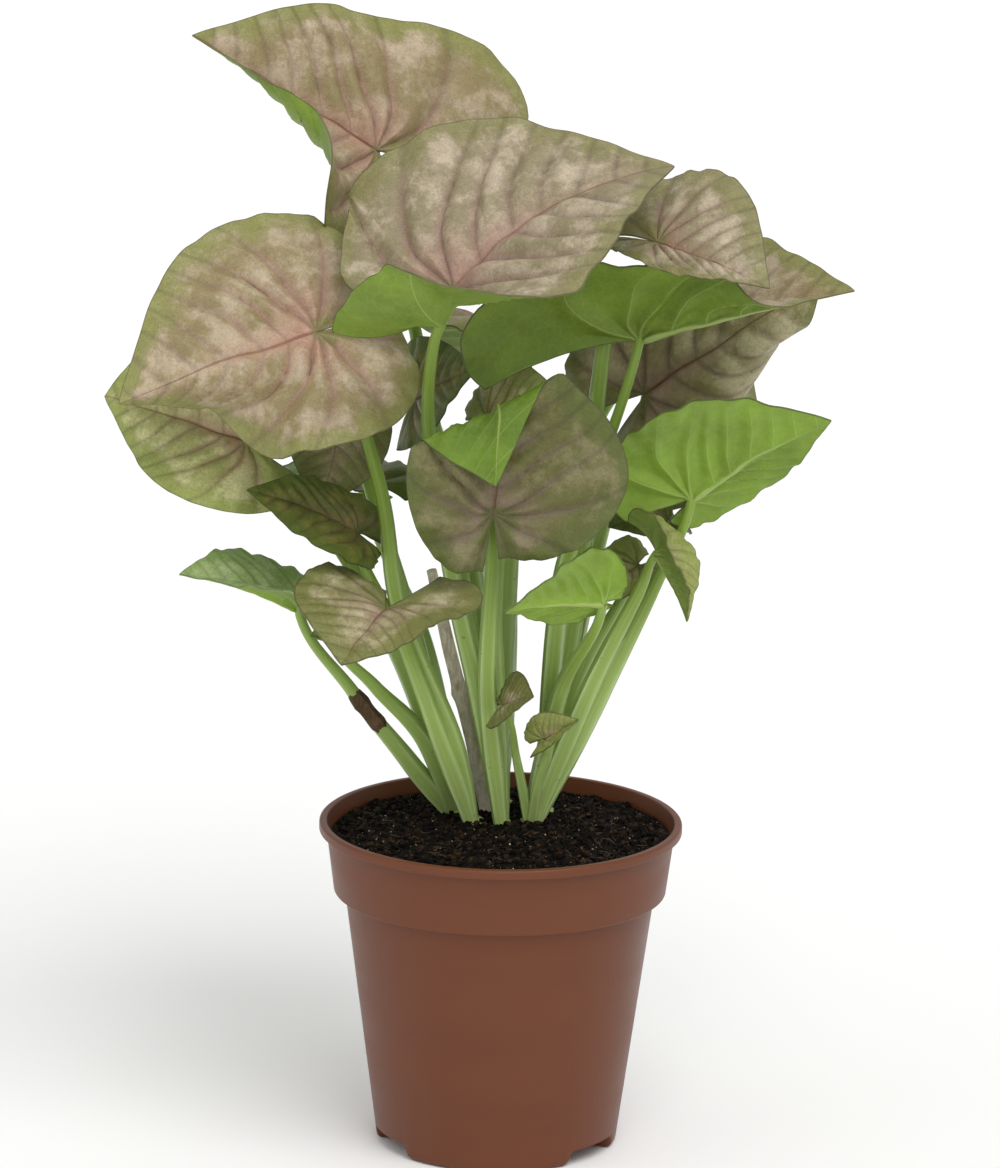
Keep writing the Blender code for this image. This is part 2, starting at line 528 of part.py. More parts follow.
def make_shoot(name, finish):
    """One leafy shoot: its short stem and its petioles, joined in one solid."""
    base_x, base_y, radius = SHOOT_BASES[name]
    parts = bpy.data.collections.new(name + "_petioles")
    for blade in BLADES:
        if blade.shoot == name:
            bm = bmesh.new()
            centres = petiole_centres(blade, PETIOLE_STEPS)
            radii = [petiole_radius(blade, step / PETIOLE_STEPS) for step in range(PETIOLE_STEPS + 1)]
            tube(bm, centres, radii, PETIOLE_SIDES, petiole_end(blade)[1])
            petiole = new_object(name + "_" + blade.name, bm, finish)
            bpy.context.scene.collection.objects.unlink(petiole)
            parts.objects.link(petiole)
    bm = bmesh.new()
    heights = (STEM_BOTTOM_Z, STEM_TOP_Z - STEM_ROUND, STEM_TOP_Z)
    centres = [np.array((base_x, base_y, height)) for height in heights]
    tube(bm, centres, (radius, radius, radius * STEM_END), STEM_SIDES)
    stem = new_object(name, bm, finish)
    union = stem.modifiers.new("petioles", "BOOLEAN")
    union.operation = "UNION"
    union.operand_type = "COLLECTION"
    union.collection = parts
    union.solver = "MANIFOLD"
    joined = bpy.data.meshes.new_from_object(stem.evaluated_get(bpy.context.evaluated_depsgraph_get()))
    stem.modifiers.clear()
    stem.data = joined
    for petiole in list(parts.objects):
        bpy.data.objects.remove(petiole)
    bpy.data.collections.remove(parts)
    return stem


def main():
    for old in list(bpy.data.objects):
        bpy.data.objects.remove(old)
    material("cutter", (0.5, 0.5, 0.5), 0.5)
    pot_finish = material("pot_plastic", (0.2, 0.085, 0.045), 0.45)
    soil_finish = material("potting_soil", (0.02, 0.013, 0.01), 0.95)
    bark_finish = material("old_stem", (0.36, 0.33, 0.27), 0.8)
    leaf_finish = material("leaf", (0.35, 0.24, 0.15), 0.45)
    petiole_finish = material("petiole", (0.27, 0.48, 0.09), 0.4)
    make_pot(pot_finish)
    make_soil(soil_finish)
    make_old_stem(bark_finish)
    for blade in BLADES:
        make_blade(blade, leaf_finish)
    for name in SHOOT_BASES:
        make_shoot(name, petiole_finish)


main()
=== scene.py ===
"""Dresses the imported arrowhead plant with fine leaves, petioles, soil and pot, and sets light and camera.

Places and sizes of the plant are the ones of its solids, in millimetres and degrees. X runs to the right of
the plant's front, Y to its back and Z up, with the origin in the middle of the pot's floor.
"""

import math
from dataclasses import dataclass

import bmesh
import bpy
import numpy as np
from bpy.props import FloatProperty, FloatVectorProperty, IntProperty, PointerProperty
from mathutils import Euler, Matrix, Vector, kdtree, noise


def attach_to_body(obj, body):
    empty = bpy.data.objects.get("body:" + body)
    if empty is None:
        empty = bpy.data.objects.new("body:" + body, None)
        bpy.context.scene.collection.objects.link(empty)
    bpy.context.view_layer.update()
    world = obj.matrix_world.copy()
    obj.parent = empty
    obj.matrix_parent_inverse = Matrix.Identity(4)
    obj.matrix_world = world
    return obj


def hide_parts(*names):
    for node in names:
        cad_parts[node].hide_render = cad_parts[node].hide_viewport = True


bl_info = {
    "name": "Arrowhead plant in a nursery pot",
    "version": (1, 0, 0),
    "blender": (4, 5, 0),
    "location": "View3D > Sidebar > Arrowhead",
    "description": "Builds the leaves, petioles, soil, pot, light and camera of a potted arrowhead plant",
    "category": "Object",
}

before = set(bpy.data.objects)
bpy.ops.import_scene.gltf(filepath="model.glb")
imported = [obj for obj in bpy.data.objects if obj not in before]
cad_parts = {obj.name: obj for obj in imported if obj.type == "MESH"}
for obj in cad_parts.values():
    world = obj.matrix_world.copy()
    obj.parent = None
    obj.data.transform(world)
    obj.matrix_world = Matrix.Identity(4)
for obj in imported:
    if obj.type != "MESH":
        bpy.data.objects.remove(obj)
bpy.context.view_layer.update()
MM = 0.001
# Distance in metres within which points are one
MERGE = 0.00001

# Camera: the view of the photograph, which is 1168 pixels high
PHOTO_HEIGHT = 1168.0
FOCAL_PIXELS = 9135.0
SENSOR = 36.0
CAMERA_DISTANCE = 3.0
CAMERA_PITCH = 14.57
CAMERA_ROLL = 0.85
LOOK_AT = (-0.0014, 0.0, 0.190)

# Pot: a 12 cm moulded nursery pot
POT_HEIGHT = 109.4
LIP_RADIUS = 60.0
LIP_HEIGHT = 3.2
LIP_WIDTH = 2.6
COLLAR_TOP_RADIUS = 57.6
COLLAR_BOTTOM_RADIUS = 55.0
COLLAR_BOTTOM_Z = 86.2
STEP_HEIGHT = 1.6
BODY_TOP_RADIUS = 51.2
BODY_BOTTOM_RADIUS = 40.0
BOTTOM_EDGE_RADIUS = 2.0
WALL = 1.3
FOOT_HEIGHT = 4.8
FOOT_CENTRES = (-95.0, 25.0, 145.0)
FOOT_GAP_ANGLE = 34.0
FOOT_RAMP_ANGLE = 3.0
FOOT_INNER_RADIUS = 34.6
FLOOR_DISC_RADIUS = 12.0
FLOOR_THICKNESS = 1.8
POT_FLOOR_TOP = FOOT_HEIGHT + FLOOR_THICKNESS
DRAIN_HOLES = 6
DRAIN_RING_RADIUS = 24.0
DRAIN_RADIUS = 3.5
DRAIN_SIDES = 32
DRAIN_CUT = 30.0
# Rounded corners of the pot: the lip's outer, inner and lower edge, and the collar's lower edge
LIP_ROUND = 0.9
LIP_INNER_ROUND = 0.6
LIP_LOWER_ROUND = 0.4
COLLAR_ROUND = 0.7
# Small ledges and slopes of the mould: at the lip, under the collar, inside the feet and round the floor pad
LIP_LEDGE = (0.15, 0.02)
LIP_FALL = 0.1
COLLAR_LIFT = 0.1
STEP_LEDGE = (0.3, 0.15)
FOOT_SLOPE = 0.6
FLOOR_SLOPE = 1.0
# Where the pot's wall starts over its bottom edge, its rings, and how far the feet are from the floor pad
WALL_START = 3.0
WALL_RINGS = 12
FOOT_START = 2.0
POT_SMOOTH_ANGLE = 35.0

# Soil: its top edge and the rise to the middle
SOIL_EDGE_Z = 104.6
SOIL_RISE = 2.2
SOIL_CLEARANCE = 0.3
SOIL_SIDES = 160
SOIL_RINGS = (0.985, 0.02, 56)
SOIL_SMOOTH_ANGLE = 60.0
# Lumps of its top: how wide in metres and how high in millimetres, and a place in the noise of their own
SOIL_LUMPS = ((0.014, 1.0, 0.0), (0.005, 0.7, 0.3), (0.0022, 0.45, 0.7))
SOIL_EDGE_POWER = 12
# Radii of the crumbs and of the grit, how far they stay from the pot, and how uneven and tilted they are
CRUMB_SIZES = (0.5, 1.7)
CRUMB_MARGIN = 1.0
GRIT_SIZES = (0.16, 0.42)
GRIT_MARGIN = 1.5
LUMP_WIDTHS = (0.6, 1.0)
LUMP_HEIGHTS = (0.45, 0.9)
LUMP_ROUGHNESS = 0.22
LUMP_TILT = 0.6
LUMP_LIFT = 0.25
LUMP_TURN = 6.3
# Most lumps are small: the power of the draw of their size
LUMP_SIZE_POWER = 3
LUMP_BATCH = 100
# Fibres: their length, radii from end to end, sides, turn at each step, height over the soil and distance
FIBRE_LENGTHS = (2.0, 6.0)
FIBRE_RADII = (0.08, 0.14, 0.16, 0.13, 0.06)
FIBRE_SIDES = 5
FIBRE_TURN = 0.5
FIBRE_LIFT = 0.5
FIBRE_MARGIN = 6.0

# Stems and petioles
STEM_BOTTOM_Z = 92.0
STEM_TOP_Z = 108.0
PETIOLE_FOOT_Z = 100.0
# How far down a petiole's course starts, and how strongly it turns into the blade and runs on under it
FOOT_RUN = 30.0
TURN_UP = 0.8
TURN_ON = 0.6
# Along a petiole: where its sheath has swelled, where it starts to taper, and by what power
SHEATH_RUN = 0.22
SHEATH_END = 0.18
SHEATH_TAPER = 0.8
# The sheath's two edges: their turns round the petiole, their width, and where they rise and fade along it
SHEATH_EDGES = (0.9, 2.3)
SHEATH_EDGE_WIDTH = 0.16
SHEATH_EDGE_RISE = 0.1
SHEATH_EDGE_FADE = (0.35, 0.3)
# The rounded top of a stem: height from it, and radius over the stem's
STEM_ROUND = ((-4.0, 1.0), (-1.5, 0.85), (0.0, 0.5))
# The rib under a midrib, in millimetres, and how far behind the petiole it starts, over the length
RIB_WIDTH = 1.5
RIB_DEPTH = 1.5
RIB_START = -0.02

# Half of the flat outline: angle from the tip's direction, and distance from the petiole over the length
OUTLINE = ((0, 1.0), (9, 0.88), (24, 0.77), (45, 0.69), (66, 0.62), (90, 0.56), (115, 0.53), (138, 0.50),
           (162, 0.40))
SINUS_ANGLE = 162.0
# Over a blade's length: lobes behind the petiole, half width, and where tip_bend and the ripples start
LOBE_LENGTH = 0.45
HALF_WIDTH = 0.55
TIP_BEND_START = 0.48
TIP_BEND_RUN = 0.2
RIPPLE_START = 0.15
# Angles over which the value for lobes comes in, waves in one turn of the margin, and steps of a bend
LOBE_START = 60.0
LOBE_RUN = 80.0
RIPPLES = 4.0
BEND_STEPS = 16
# Fine waves of the margin: how many in a radian, height and start. They rise outwards by a power, come in
# over a distance across, and are full on a blade of this length
FINE_WAVES = ((17.0, 1.0, 0.0), (29.0, 0.6, 1.0))
FINE_WAVE_POWER = 6
FINE_WAVE_RUN = 0.2
FINE_WAVE_LENGTH = 50.0

# Veins: how side veins leave the midrib, over the leaf's length, and the turn between the veins of a lobe
VEIN_RISE = 0.5
VEIN_CURVE = 0.9
VEIN_SPACING = 0.15
LOBE_VEIN_TURN = math.radians(33.0)
# How far veins stray, their share across, how often, from how far out, and how far apart leaves are in noise
VEIN_WANDER = 0.05
WANDER_ACROSS = 0.5
WANDER_SCALE = 3.5
WANDER_RUN = 0.2
WANDER_APART = 7.3
# Places in the noise for straying across and along
WANDER_LAYERS = (0.0, 50.0)

# Quilting: the puffs' steepness at a vein, at the midrib and at the margin, and the midrib's flat strip
PUFF_POWER = 1.6
PUFF_RIB_POWER = 2
PUFF_MARGIN_POWER = 4
PUFF_RIB_WIDTH = 0.12
# The groove along the midrib, in millimetres, and how far from the petiole it comes in
GROOVE_DEPTH = 0.4
GROOVE_WIDTH = 1.2
GROOVE_RUN = 0.05

# A blade's columns crowd to the midrib and its rings to the margin by these powers
COLUMN_POWER = 1.35
RING_POWER = 0.85
# Share of its faces that the smallest blade keeps, and the length over which the rest comes in
LEAST_FACES = 0.45
FACES_LENGTH = 90.0
BLADE_SMOOTH_ANGLE = 70.0
# Thickness in metres that the lower side is first made at, before it is moved to its place
FIRST_THICKNESS = 0.000001

SHOOT_BASES = {
    "shoot_1": (-15.0, 23.0, 5.6),
    "shoot_2": (-8.7, 8.0, 4.6),
    "shoot_3": (0.6, 6.0, 4.2),
    "shoot_4": (9.8, 9.0, 4.7),
    "shoot_5": (13.0, 25.0, 5.4),
    "shoot_6": (-1.0, 33.0, 5.8),
}
# The petiole with a withered sheath, the stretch it covers, and how thick it is along it
WITHERED_ON = "leaf_lime_left"
WITHERED_RUN = (0.5, 0.66)
WITHERED_SWELL = ((0.0, 0.92), (0.15, 1.14), (0.45, 1.04), (0.7, 1.3), (0.9, 1.12), (1.0, 0.92))
WITHERED_RIDGE = 0.8
# Its wrinkles: how wide and how high, in metres
WRINKLE_WIDTH = 0.002
WRINKLE_HEIGHT = 0.0004
# The old stem, its radius at each point over the one at its foot, and the scar in the middle of each stretch
OLD_STEM_BASE = (-4.5, 19.5, 2.8)
OLD_STEM_COURSE = ((-10, 16, 133), (-18, 12, 165), (-24, 9, 192))
OLD_STEM_TAPER = (1.0, 1.0, 0.85, 0.8, 0.6)
OLD_STEM_STEPS = 12
SCAR_SWELL = 0.35
SCAR_WIDTH = 0.07


# Suns light the whole floor evenly, and their wide discs give soft shadows: name, setting, share of its
# strength, width of the disc, heading and height
SUNS = (("key", "key", 1.0, 40.0, -62.0, 56.0), ("fill", "fill", 1.0, 60.0, -150.0, 35.0),
        ("front", "fill", 2.4, 60.0, -88.0, 16.0), ("back", "fill", 0.8, 50.0, 80.0, 50.0))
SUN_DISTANCE = 3.0
# The floor's half side and its depth under the feet, in metres
FLOOR_REACH = 40.0
FLOOR_DEPTH = 0.0002


@dataclass
class Blade:
    """One leaf: its finish, its blade's place, size and bends, and the shoot and course of its petiole."""
    name: str
    finish: str
    shoot: str
    attach: tuple           # where the petiole meets the blade
    tip: tuple              # where the tip is before tip_bend
    face: tuple             # the way the upper side looks
    width: tuple = (1.0, 1.0)
    bend: float = 20.0      # how much the midrib arches from petiole to tip
    tip_bend: float = 0.0   # extra bend of the outer half, down if positive
    tip_slant: tuple = (0.0, 0.0)   # how far tip_bend's line runs outwards to the right, over the width
    fold: tuple = (10, 10)  # how far the left and right halves rise from the midrib
    curl: tuple = (0, 0)    # how much more they turn by their margins
    lobes: tuple = (1.0, 1.0)
    sinus: tuple = (SINUS_ANGLE, SINUS_ANGLE)
    droop: tuple = (20, 20)
    ripple: float = 1.2     # height of the margin's waves
    rolls: tuple = ()       # side, angle, reach, start and turn of each rolled stretch of margin
    course: tuple = ()      # points of the petiole between its foot and the blade
    radii: tuple = (2.2, 3.5, 1.6)
    quilt: float = 1.0      # how strongly it is quilted


BLADES = (
    # The high leaf, whose left margin rolls over its midrib
    Blade("leaf_high", "pink", "shoot_6", (-44, 32, 328), (-104, 15, 369), (0.3, -0.8, 0.5),
          width=(0.9, 1.0), bend=4, fold=(5, -4), lobes=(1.0, 1.7), droop=(0, 0),
          rolls=((-1, 25, 60, 0.1, 140),), course=((-14, 34, 180), (-30, 42, 262)), quilt=1.4),
    # The large middle leaf, whose near lobe stands up and shows its underside
    Blade("leaf_middle", "rose", "shoot_3", (-18, -35, 297), (53, -14, 334), (-0.42, -0.2, 0.88),
          width=(1.1, 1.0), bend=40, fold=(22, -9), curl=(20, 0), lobes=(1.2, 1.5),
          rolls=((1, 150, 95, 0.0, 115),), droop=(-70, -40),
          course=((-7.5, 0, 150), (-16, -8, 189), (-25, -20, 244), (-24, -30, 277)), quilt=1.4),
    # The leaves on the left
    Blade("leaf_left", "pink", "shoot_2", (-62, -26, 280), (-125, -46, 260), (-0.1, -0.8, 0.6),
          width=(1.0, 1.15), fold=(-4, 4), rolls=((-1, 20, 42, 0.1, -150),), lobes=(1.1, 1.0),
          sinus=(178.5, 178.5), course=((-16, 0, 136), (-34, -10, 183), (-40, -15, 222), (-50, -20, 257)),
          quilt=1.2),
    Blade("leaf_left_low", "pale", "shoot_1", (-85, -8, 239), (-132, 10, 249), (-0.1, -0.95, 0.35),
          width=(0.85, 1.6), bend=35, ripple=1.8, course=((-30, 18, 150), (-55, 8, 200))),
    Blade("leaf_left_inner", "tan", "shoot_1", (-54, 8, 243), (-60, 2, 214), (-0.1, -0.9, 0.3),
          fold=(-12, -12), course=((-28, 20, 160), (-42, 14, 210))),
    Blade("leaf_left_dark", "dark", "shoot_2", (-48, -13, 210), (-84, -29, 228), (-0.1, -0.6, 0.8),
          width=(0.9, 0.6), fold=(14, 8), lobes=(0.5, 1.0), course=((-26, -2, 157), (-39, -10, 184))),
    Blade("leaf_left_front", "tan", "shoot_2", (-38, -44, 193), (-52, -68, 180), (-0.1, -0.5, 0.85),
          width=(1.2, 1.7), lobes=(1.8, 1.0), droop=(0, 20), course=((-21, -4, 140), (-33, -16, 175))),
    Blade("leaf_lime_left", "silver", "shoot_1", (-67, -8, 183), (-106, -20, 197), (-0.1, -0.1, 0.95),
          fold=(18, 18), lobes=(0.4, 0.8), course=((-30, 15, 124), (-50, 5, 152))),
    Blade("leaf_bud_left", "lime", "shoot_1", (-54, -15, 174), (-63, -21, 177), (0, -0.5, 0.8),
          fold=(40, 40), course=((-25, 10, 133), (-42, -2, 155))),
    # The curled leaf in front and the lime leaf under it
    Blade("leaf_front", "brown", "shoot_3", (-4, -44, 225), (-2, -44, 289), (0.05, -0.97, 0.2),
          width=(0.8, 1.2), bend=0, fold=(8, 8), lobes=(0.8, 0.62), sinus=(172, 172), tip_bend=-165,
          tip_slant=(0.34, 0.8), course=((-5, -6, 155), (-4, -25, 204))),
    Blade("leaf_lime_front", "lime", "shoot_4", (32, -29, 192), (0, -52, 194), (-0.2, 0.8, 0.6),
          width=(1.0, 0.6), fold=(10, 10), lobes=(0.4, 0.3), course=((19, 2, 153),)),
    # The leaves on the right
    Blade("leaf_right_under", "pink", "shoot_5", (43, 5, 272), (112, -15, 294), (-0.2, 0.85, 0.5),
          width=(1.0, 0.75), fold=(85, 0), lobes=(0.25, 1.85), rolls=((1, 12, 34, 0.0, -100),), bend=8,
          course=((18, 6, 182), (24, 3, 210), (32, 2, 234))),
    Blade("leaf_right_top", "rose", "shoot_5", (48, -16, 309), (84, -36, 299), (0.1, -0.7, 0.7),
          width=(1.25, 0.45), sinus=(178.5, 178.5), course=((24, 24, 180), (30, 12, 255), (34, 10, 276))),
    Blade("leaf_right_brown", "tan", "shoot_5", (46, 50, 243), (103, 35, 286), (0.3, -0.8, 0.5),
          width=(0.8, 1.0), lobes=(0.9, 1.0), rolls=((1, 38, 40, 0.1, -150),),
          course=((26, 44, 170), (38, 62, 215))),
    Blade("leaf_right_lime", "lime", "shoot_4", (61, 8, 218), (106, -4, 248), (-0.1, 0.8, 0.6),
          width=(0.6, 1.2), fold=(5, 5), lobes=(0.5, 1.0), droop=(20, -10),
          course=((32, 8, 150), (50, 8, 189))),
    Blade("leaf_right_folded", "pale", "shoot_4", (50, -10, 204), (60, -22, 184), (0.9, -0.3, 0.3),
          width=(0.75, 0.7), fold=(44, 44), lobes=(1.4, 1.4), course=((28, 4, 152), (44, -2, 188)),
          radii=(2.2, 3.5, 1.4)),
    Blade("leaf_right_dark", "dark", "shoot_5", (54, 27, 206), (34, 12, 207), (0, -0.4, 0.9),
          fold=(10, 10), lobes=(0.6, 0.6), course=((28, 32, 150), (50, 38, 186))),
    Blade("leaf_right_grey", "pale", "shoot_5", (44, 27, 190), (29, 17, 180), (0, -0.5, 0.8),
          fold=(15, 15), course=((24, 24, 150),)),
    # The young leaves near the soil
    Blade("leaf_young", "tan", "shoot_4", (0, -12, 152), (10, -22, 158), (0.1, -0.7, 0.7),
          width=(1.3, 1.3), lobes=(0.8, 0.8), ripple=0.2, course=((5, 0, 130),), radii=(1.6, 1.8, 0.9)),
    Blade("leaf_young_folded", "pale", "shoot_4", (14, -6, 139), (25, -10, 147), (0.1, -0.7, 0.7),
          fold=(40, 40), ripple=0.5, course=((12, 0, 122),), radii=(1.6, 1.8, 0.9)),
    # The leaves in the heart of the plant
    Blade("leaf_heart_brown", "dark", "shoot_6", (-30, 24, 246), (-10, 4, 262), (0, -0.8, 0.6),
          course=((-12, 30, 170),)),
    Blade("leaf_heart_dark", "pale", "shoot_3", (-6, 12, 243), (18, -4, 255), (0, -0.7, 0.7),
          course=((-3, 8, 170),)),
    # The leaves at the back
    Blade("leaf_back_high", "rose", "shoot_6", (12, 55, 312), (48, 92, 306), (0.1, 0.2, 0.95),
          fold=(12, 12), bend=35, lobes=(0.8, 0.8), course=((2, 40, 200), (8, 50, 280))),
    Blade("leaf_back_left", "pink", "shoot_6", (-52, 70, 286), (-96, 96, 276), (-0.2, 0.3, 0.9),
          fold=(10, 10), bend=40, course=((-12, 42, 190), (-32, 54, 250))),
    Blade("leaf_back_middle", "pink", "shoot_6", (-8, 72, 262), (-16, 118, 240), (0, 0.5, 0.85),
          fold=(10, 10), bend=40, course=((-4, 46, 170), (-6, 60, 225))),
    Blade("leaf_back_right", "rose", "shoot_5", (54, 78, 258), (86, 110, 242), (0.3, 0.4, 0.85),
          fold=(12, 8), bend=30, course=((20, 50, 170), (30, 78, 225))),
    Blade("leaf_back_low", "dark", "shoot_6", (2, 76, 204), (8, 112, 190), (0.2, 0.4, 0.9), fold=(12, 12),
          bend=35, course=((2, 48, 160),)),
    Blade("leaf_back_low_left", "dark", "shoot_1", (-48, 48, 212), (-82, 68, 206), (-0.3, 0.3, 0.9),
          fold=(12, 12), bend=35, course=((-26, 34, 160),)),
)


@dataclass
class LeafFinish:
    """The colours of one kind of leaf, as sRGB hex codes."""
    field: str      # most of the upper side
    blotch: str     # what the field is mottled with
    flush: str      # the blush along the midrib and round the petiole
    margin: str     # towards the margin
    vein: str
    under: str      # the underside
    under_vein: str


LEAF_FINISHES = {
    "pink": LeafFinish("#B2A287", "#8E8058", "#B9927F", "#85884A", "#8A5E50", "#6F872A", "#A8B86E"),
    "rose": LeafFinish("#B8AA92", "#8E8465", "#AC897A", "#838050", "#875A4E", "#6F872A", "#A8B86E"),
    "pale": LeafFinish("#C2C08A", "#979A5A", "#A58468", "#8F9A4E", "#835E4A", "#728538", "#A2B46C"),
    "tan": LeafFinish("#B2A985", "#8B8357", "#9C8070", "#72773C", "#7B5647", "#6A8626", "#9DB062"),
    "brown": LeafFinish("#7F7954", "#5F602E", "#83705E", "#566026", "#664E3E", "#63801E", "#98AA5A"),
    "dark": LeafFinish("#7C7A38", "#5C6224", "#7E6A46", "#566822", "#5F4C34", "#5C7420", "#8A9E52"),
    "lime": LeafFinish("#8CA24E", "#74903A", "#9CA85A", "#76963A", "#B4C27E", "#7E9C34", "#A4B866"),
    "silver": LeafFinish("#B4C48C", "#94AC64", "#B8C48C", "#8EAA5A", "#C8D4A8", "#7E9C34", "#A4B866"),
}


# How light soaks into leaves and stalks: its share, how far each colour goes, and their scale in metres
LEAF_SOAK = (0.05, (0.8, 0.8, 0.3), 0.001)
STALK_SOAK = (0.15, (0.6, 1.0, 0.3), 0.0015)


def linear(code):
    """The linear colour, with alpha, of an sRGB hex code."""
    parts = [int(code[at:at + 2], 16) / 255.0 for at in (1, 3, 5)]
    parts = [part / 12.92 if part <= 0.04045 else ((part + 0.055) / 1.055) ** 2.4 for part in parts]
    return tuple(parts) + (1.0,)


def colour_property(name, description, code):
    """A colour that the user can change."""
    return FloatVectorProperty(name=name, description=description, subtype="COLOR", size=4, min=0.0, max=1.0,
                               default=linear(code))


class LeafSettings(bpy.types.PropertyGroup):
    """Sizes of the leaves."""
    thickness: FloatProperty(name="Blade thickness", description="Thickness of a living blade",
                             default=0.0005, min=0.0002, max=0.0008, unit="LENGTH")
    quilting: FloatProperty(name="Quilting", default=0.036, min=0.0, max=0.05,
                            description="Height of the puffs between side veins, over the length")
    waves: FloatProperty(name="Margin waves", description="Height of the fine waves of the margin",
                         default=0.0006, min=0.0, max=0.002, unit="LENGTH")
    columns: IntProperty(name="Columns", description="Faces round a large blade",
                         default=140, min=24, max=200)
    rings: IntProperty(name="Rings", description="Faces from the petiole to the margin of a large blade",
                       default=40, min=6, max=60)


class PetioleSettings(bpy.types.PropertyGroup):
    """Sizes and colours of the petioles and the old stem."""
    sides: IntProperty(name="Sides", description="Faces round a petiole", default=20, min=8, max=40)
    steps: IntProperty(name="Steps", description="Faces along a petiole", default=56, min=12, max=120)
    ridge: FloatProperty(name="Ridge", default=0.22, min=0.0, max=0.4,
                         description="How far the sheath's two edges stand out, over the radius")
    stalk: colour_property("Stalk", "Colour of the petioles", "#829D3C")
    foot: colour_property("Foot", "Colour of the petioles near the soil", "#A4BC6C")
    paper: colour_property("Paper", "Colour of the dry bark of the old stem", "#DDD2BE")
    withered: colour_property("Withered", "Colour of a dead sheath and of roots in the soil", "#5A4935")


class PotSettings(bpy.types.PropertyGroup):
    """Sizes and colours of the pot."""
    sides: IntProperty(name="Sides", description="Faces round the pot", default=192, min=48, max=360)
    colour: colour_property("Colour", "Colour of the moulded plastic", "#66361C")
    roughness: FloatProperty(name="Roughness", description="Roughness of the moulded plastic",
                             default=0.42, min=0.1, max=0.9, subtype="FACTOR")


class SoilSettings(bpy.types.PropertyGroup):
    """Sizes and colours of the potting soil."""
    crumbs: IntProperty(name="Crumbs", description="Crumbs that lie on the soil",
                        default=3400, min=0, max=8000)
    specks: IntProperty(name="Specks", description="Pale mineral grains in the soil",
                        default=420, min=0, max=900)
    fibres: IntProperty(name="Fibres", description="Fibres in the soil", default=90, min=0, max=400)
    seed: IntProperty(name="Seed", description="Draws another lay of crumbs", default=5, min=0)
    dark: colour_property("Peat", "Colour of the damp peat", "#0B0704")
    light: colour_property("Dry crumbs", "Colour of the drier crumbs", "#42301E")


class StageSettings(bpy.types.PropertyGroup):
    """The floor and the studio light."""
    floor: colour_property("Floor", "Colour of the pale floor", "#FBFBFA")
    sky: FloatProperty(name="Sky", description="Strength of the even white light from all round",
                       default=0.6, min=0.0, max=3.0)
    key: FloatProperty(name="Key light", default=1.4, min=0.0, max=10.0,
                       description="Strength of the large soft light over the camera's shoulder")
    fill: FloatProperty(name="Fill light", description="Strength of the light from the other side",
                        default=0.22, min=0.0, max=10.0)


class PlantSettings(bpy.types.PropertyGroup):
    """All the settings of the plant."""
    leaf: PointerProperty(type=LeafSettings)
    petiole: PointerProperty(type=PetioleSettings)
    pot: PointerProperty(type=PotSettings)
    soil: PointerProperty(type=SoilSettings)
    stage: PointerProperty(type=StageSettings)


def add(mat, kind, inputs=None, **settings):
    """Adds a shader node with its settings. An input takes a value, a socket, or a node's first output."""
    node = mat.node_tree.nodes.new("ShaderNode" + kind)
    for name, value in settings.items():
        setattr(node, name, value)
    for key, value in (inputs or {}).items():
        socket = node.inputs[key]
        if isinstance(key, str):
            socket = [other for other in node.inputs if other.enabled and other.name == key][0]
        if isinstance(value, bpy.types.Node):
            value = [output for output in value.outputs if output.enabled][0]
        if isinstance(value, bpy.types.NodeSocket):
            mat.node_tree.links.new(value, socket)
        else:
            socket.default_value = value
    return node


def new_material(name, roughness, specular=0.5, soak=None):
    """A material with its Principled shader, and how light soaks into it if it does."""
    mat = bpy.data.materials.new(name)
    mat.use_nodes = True
    shader = mat.node_tree.nodes["Principled BSDF"]
    shader.inputs["Roughness"].default_value = roughness
    shader.inputs["Specular IOR Level"].default_value = specular
    if soak:
        for key, value in zip(("Weight", "Radius", "Scale"), soak):
            shader.inputs["Subsurface " + key].default_value = value
    return mat, shader


def feed(mat, shader, name, node):
    """Links a node's first output to an input of the shader."""
    output = [socket for socket in node.outputs if socket.enabled][0]
    mat.node_tree.links.new(output, shader.inputs[name])


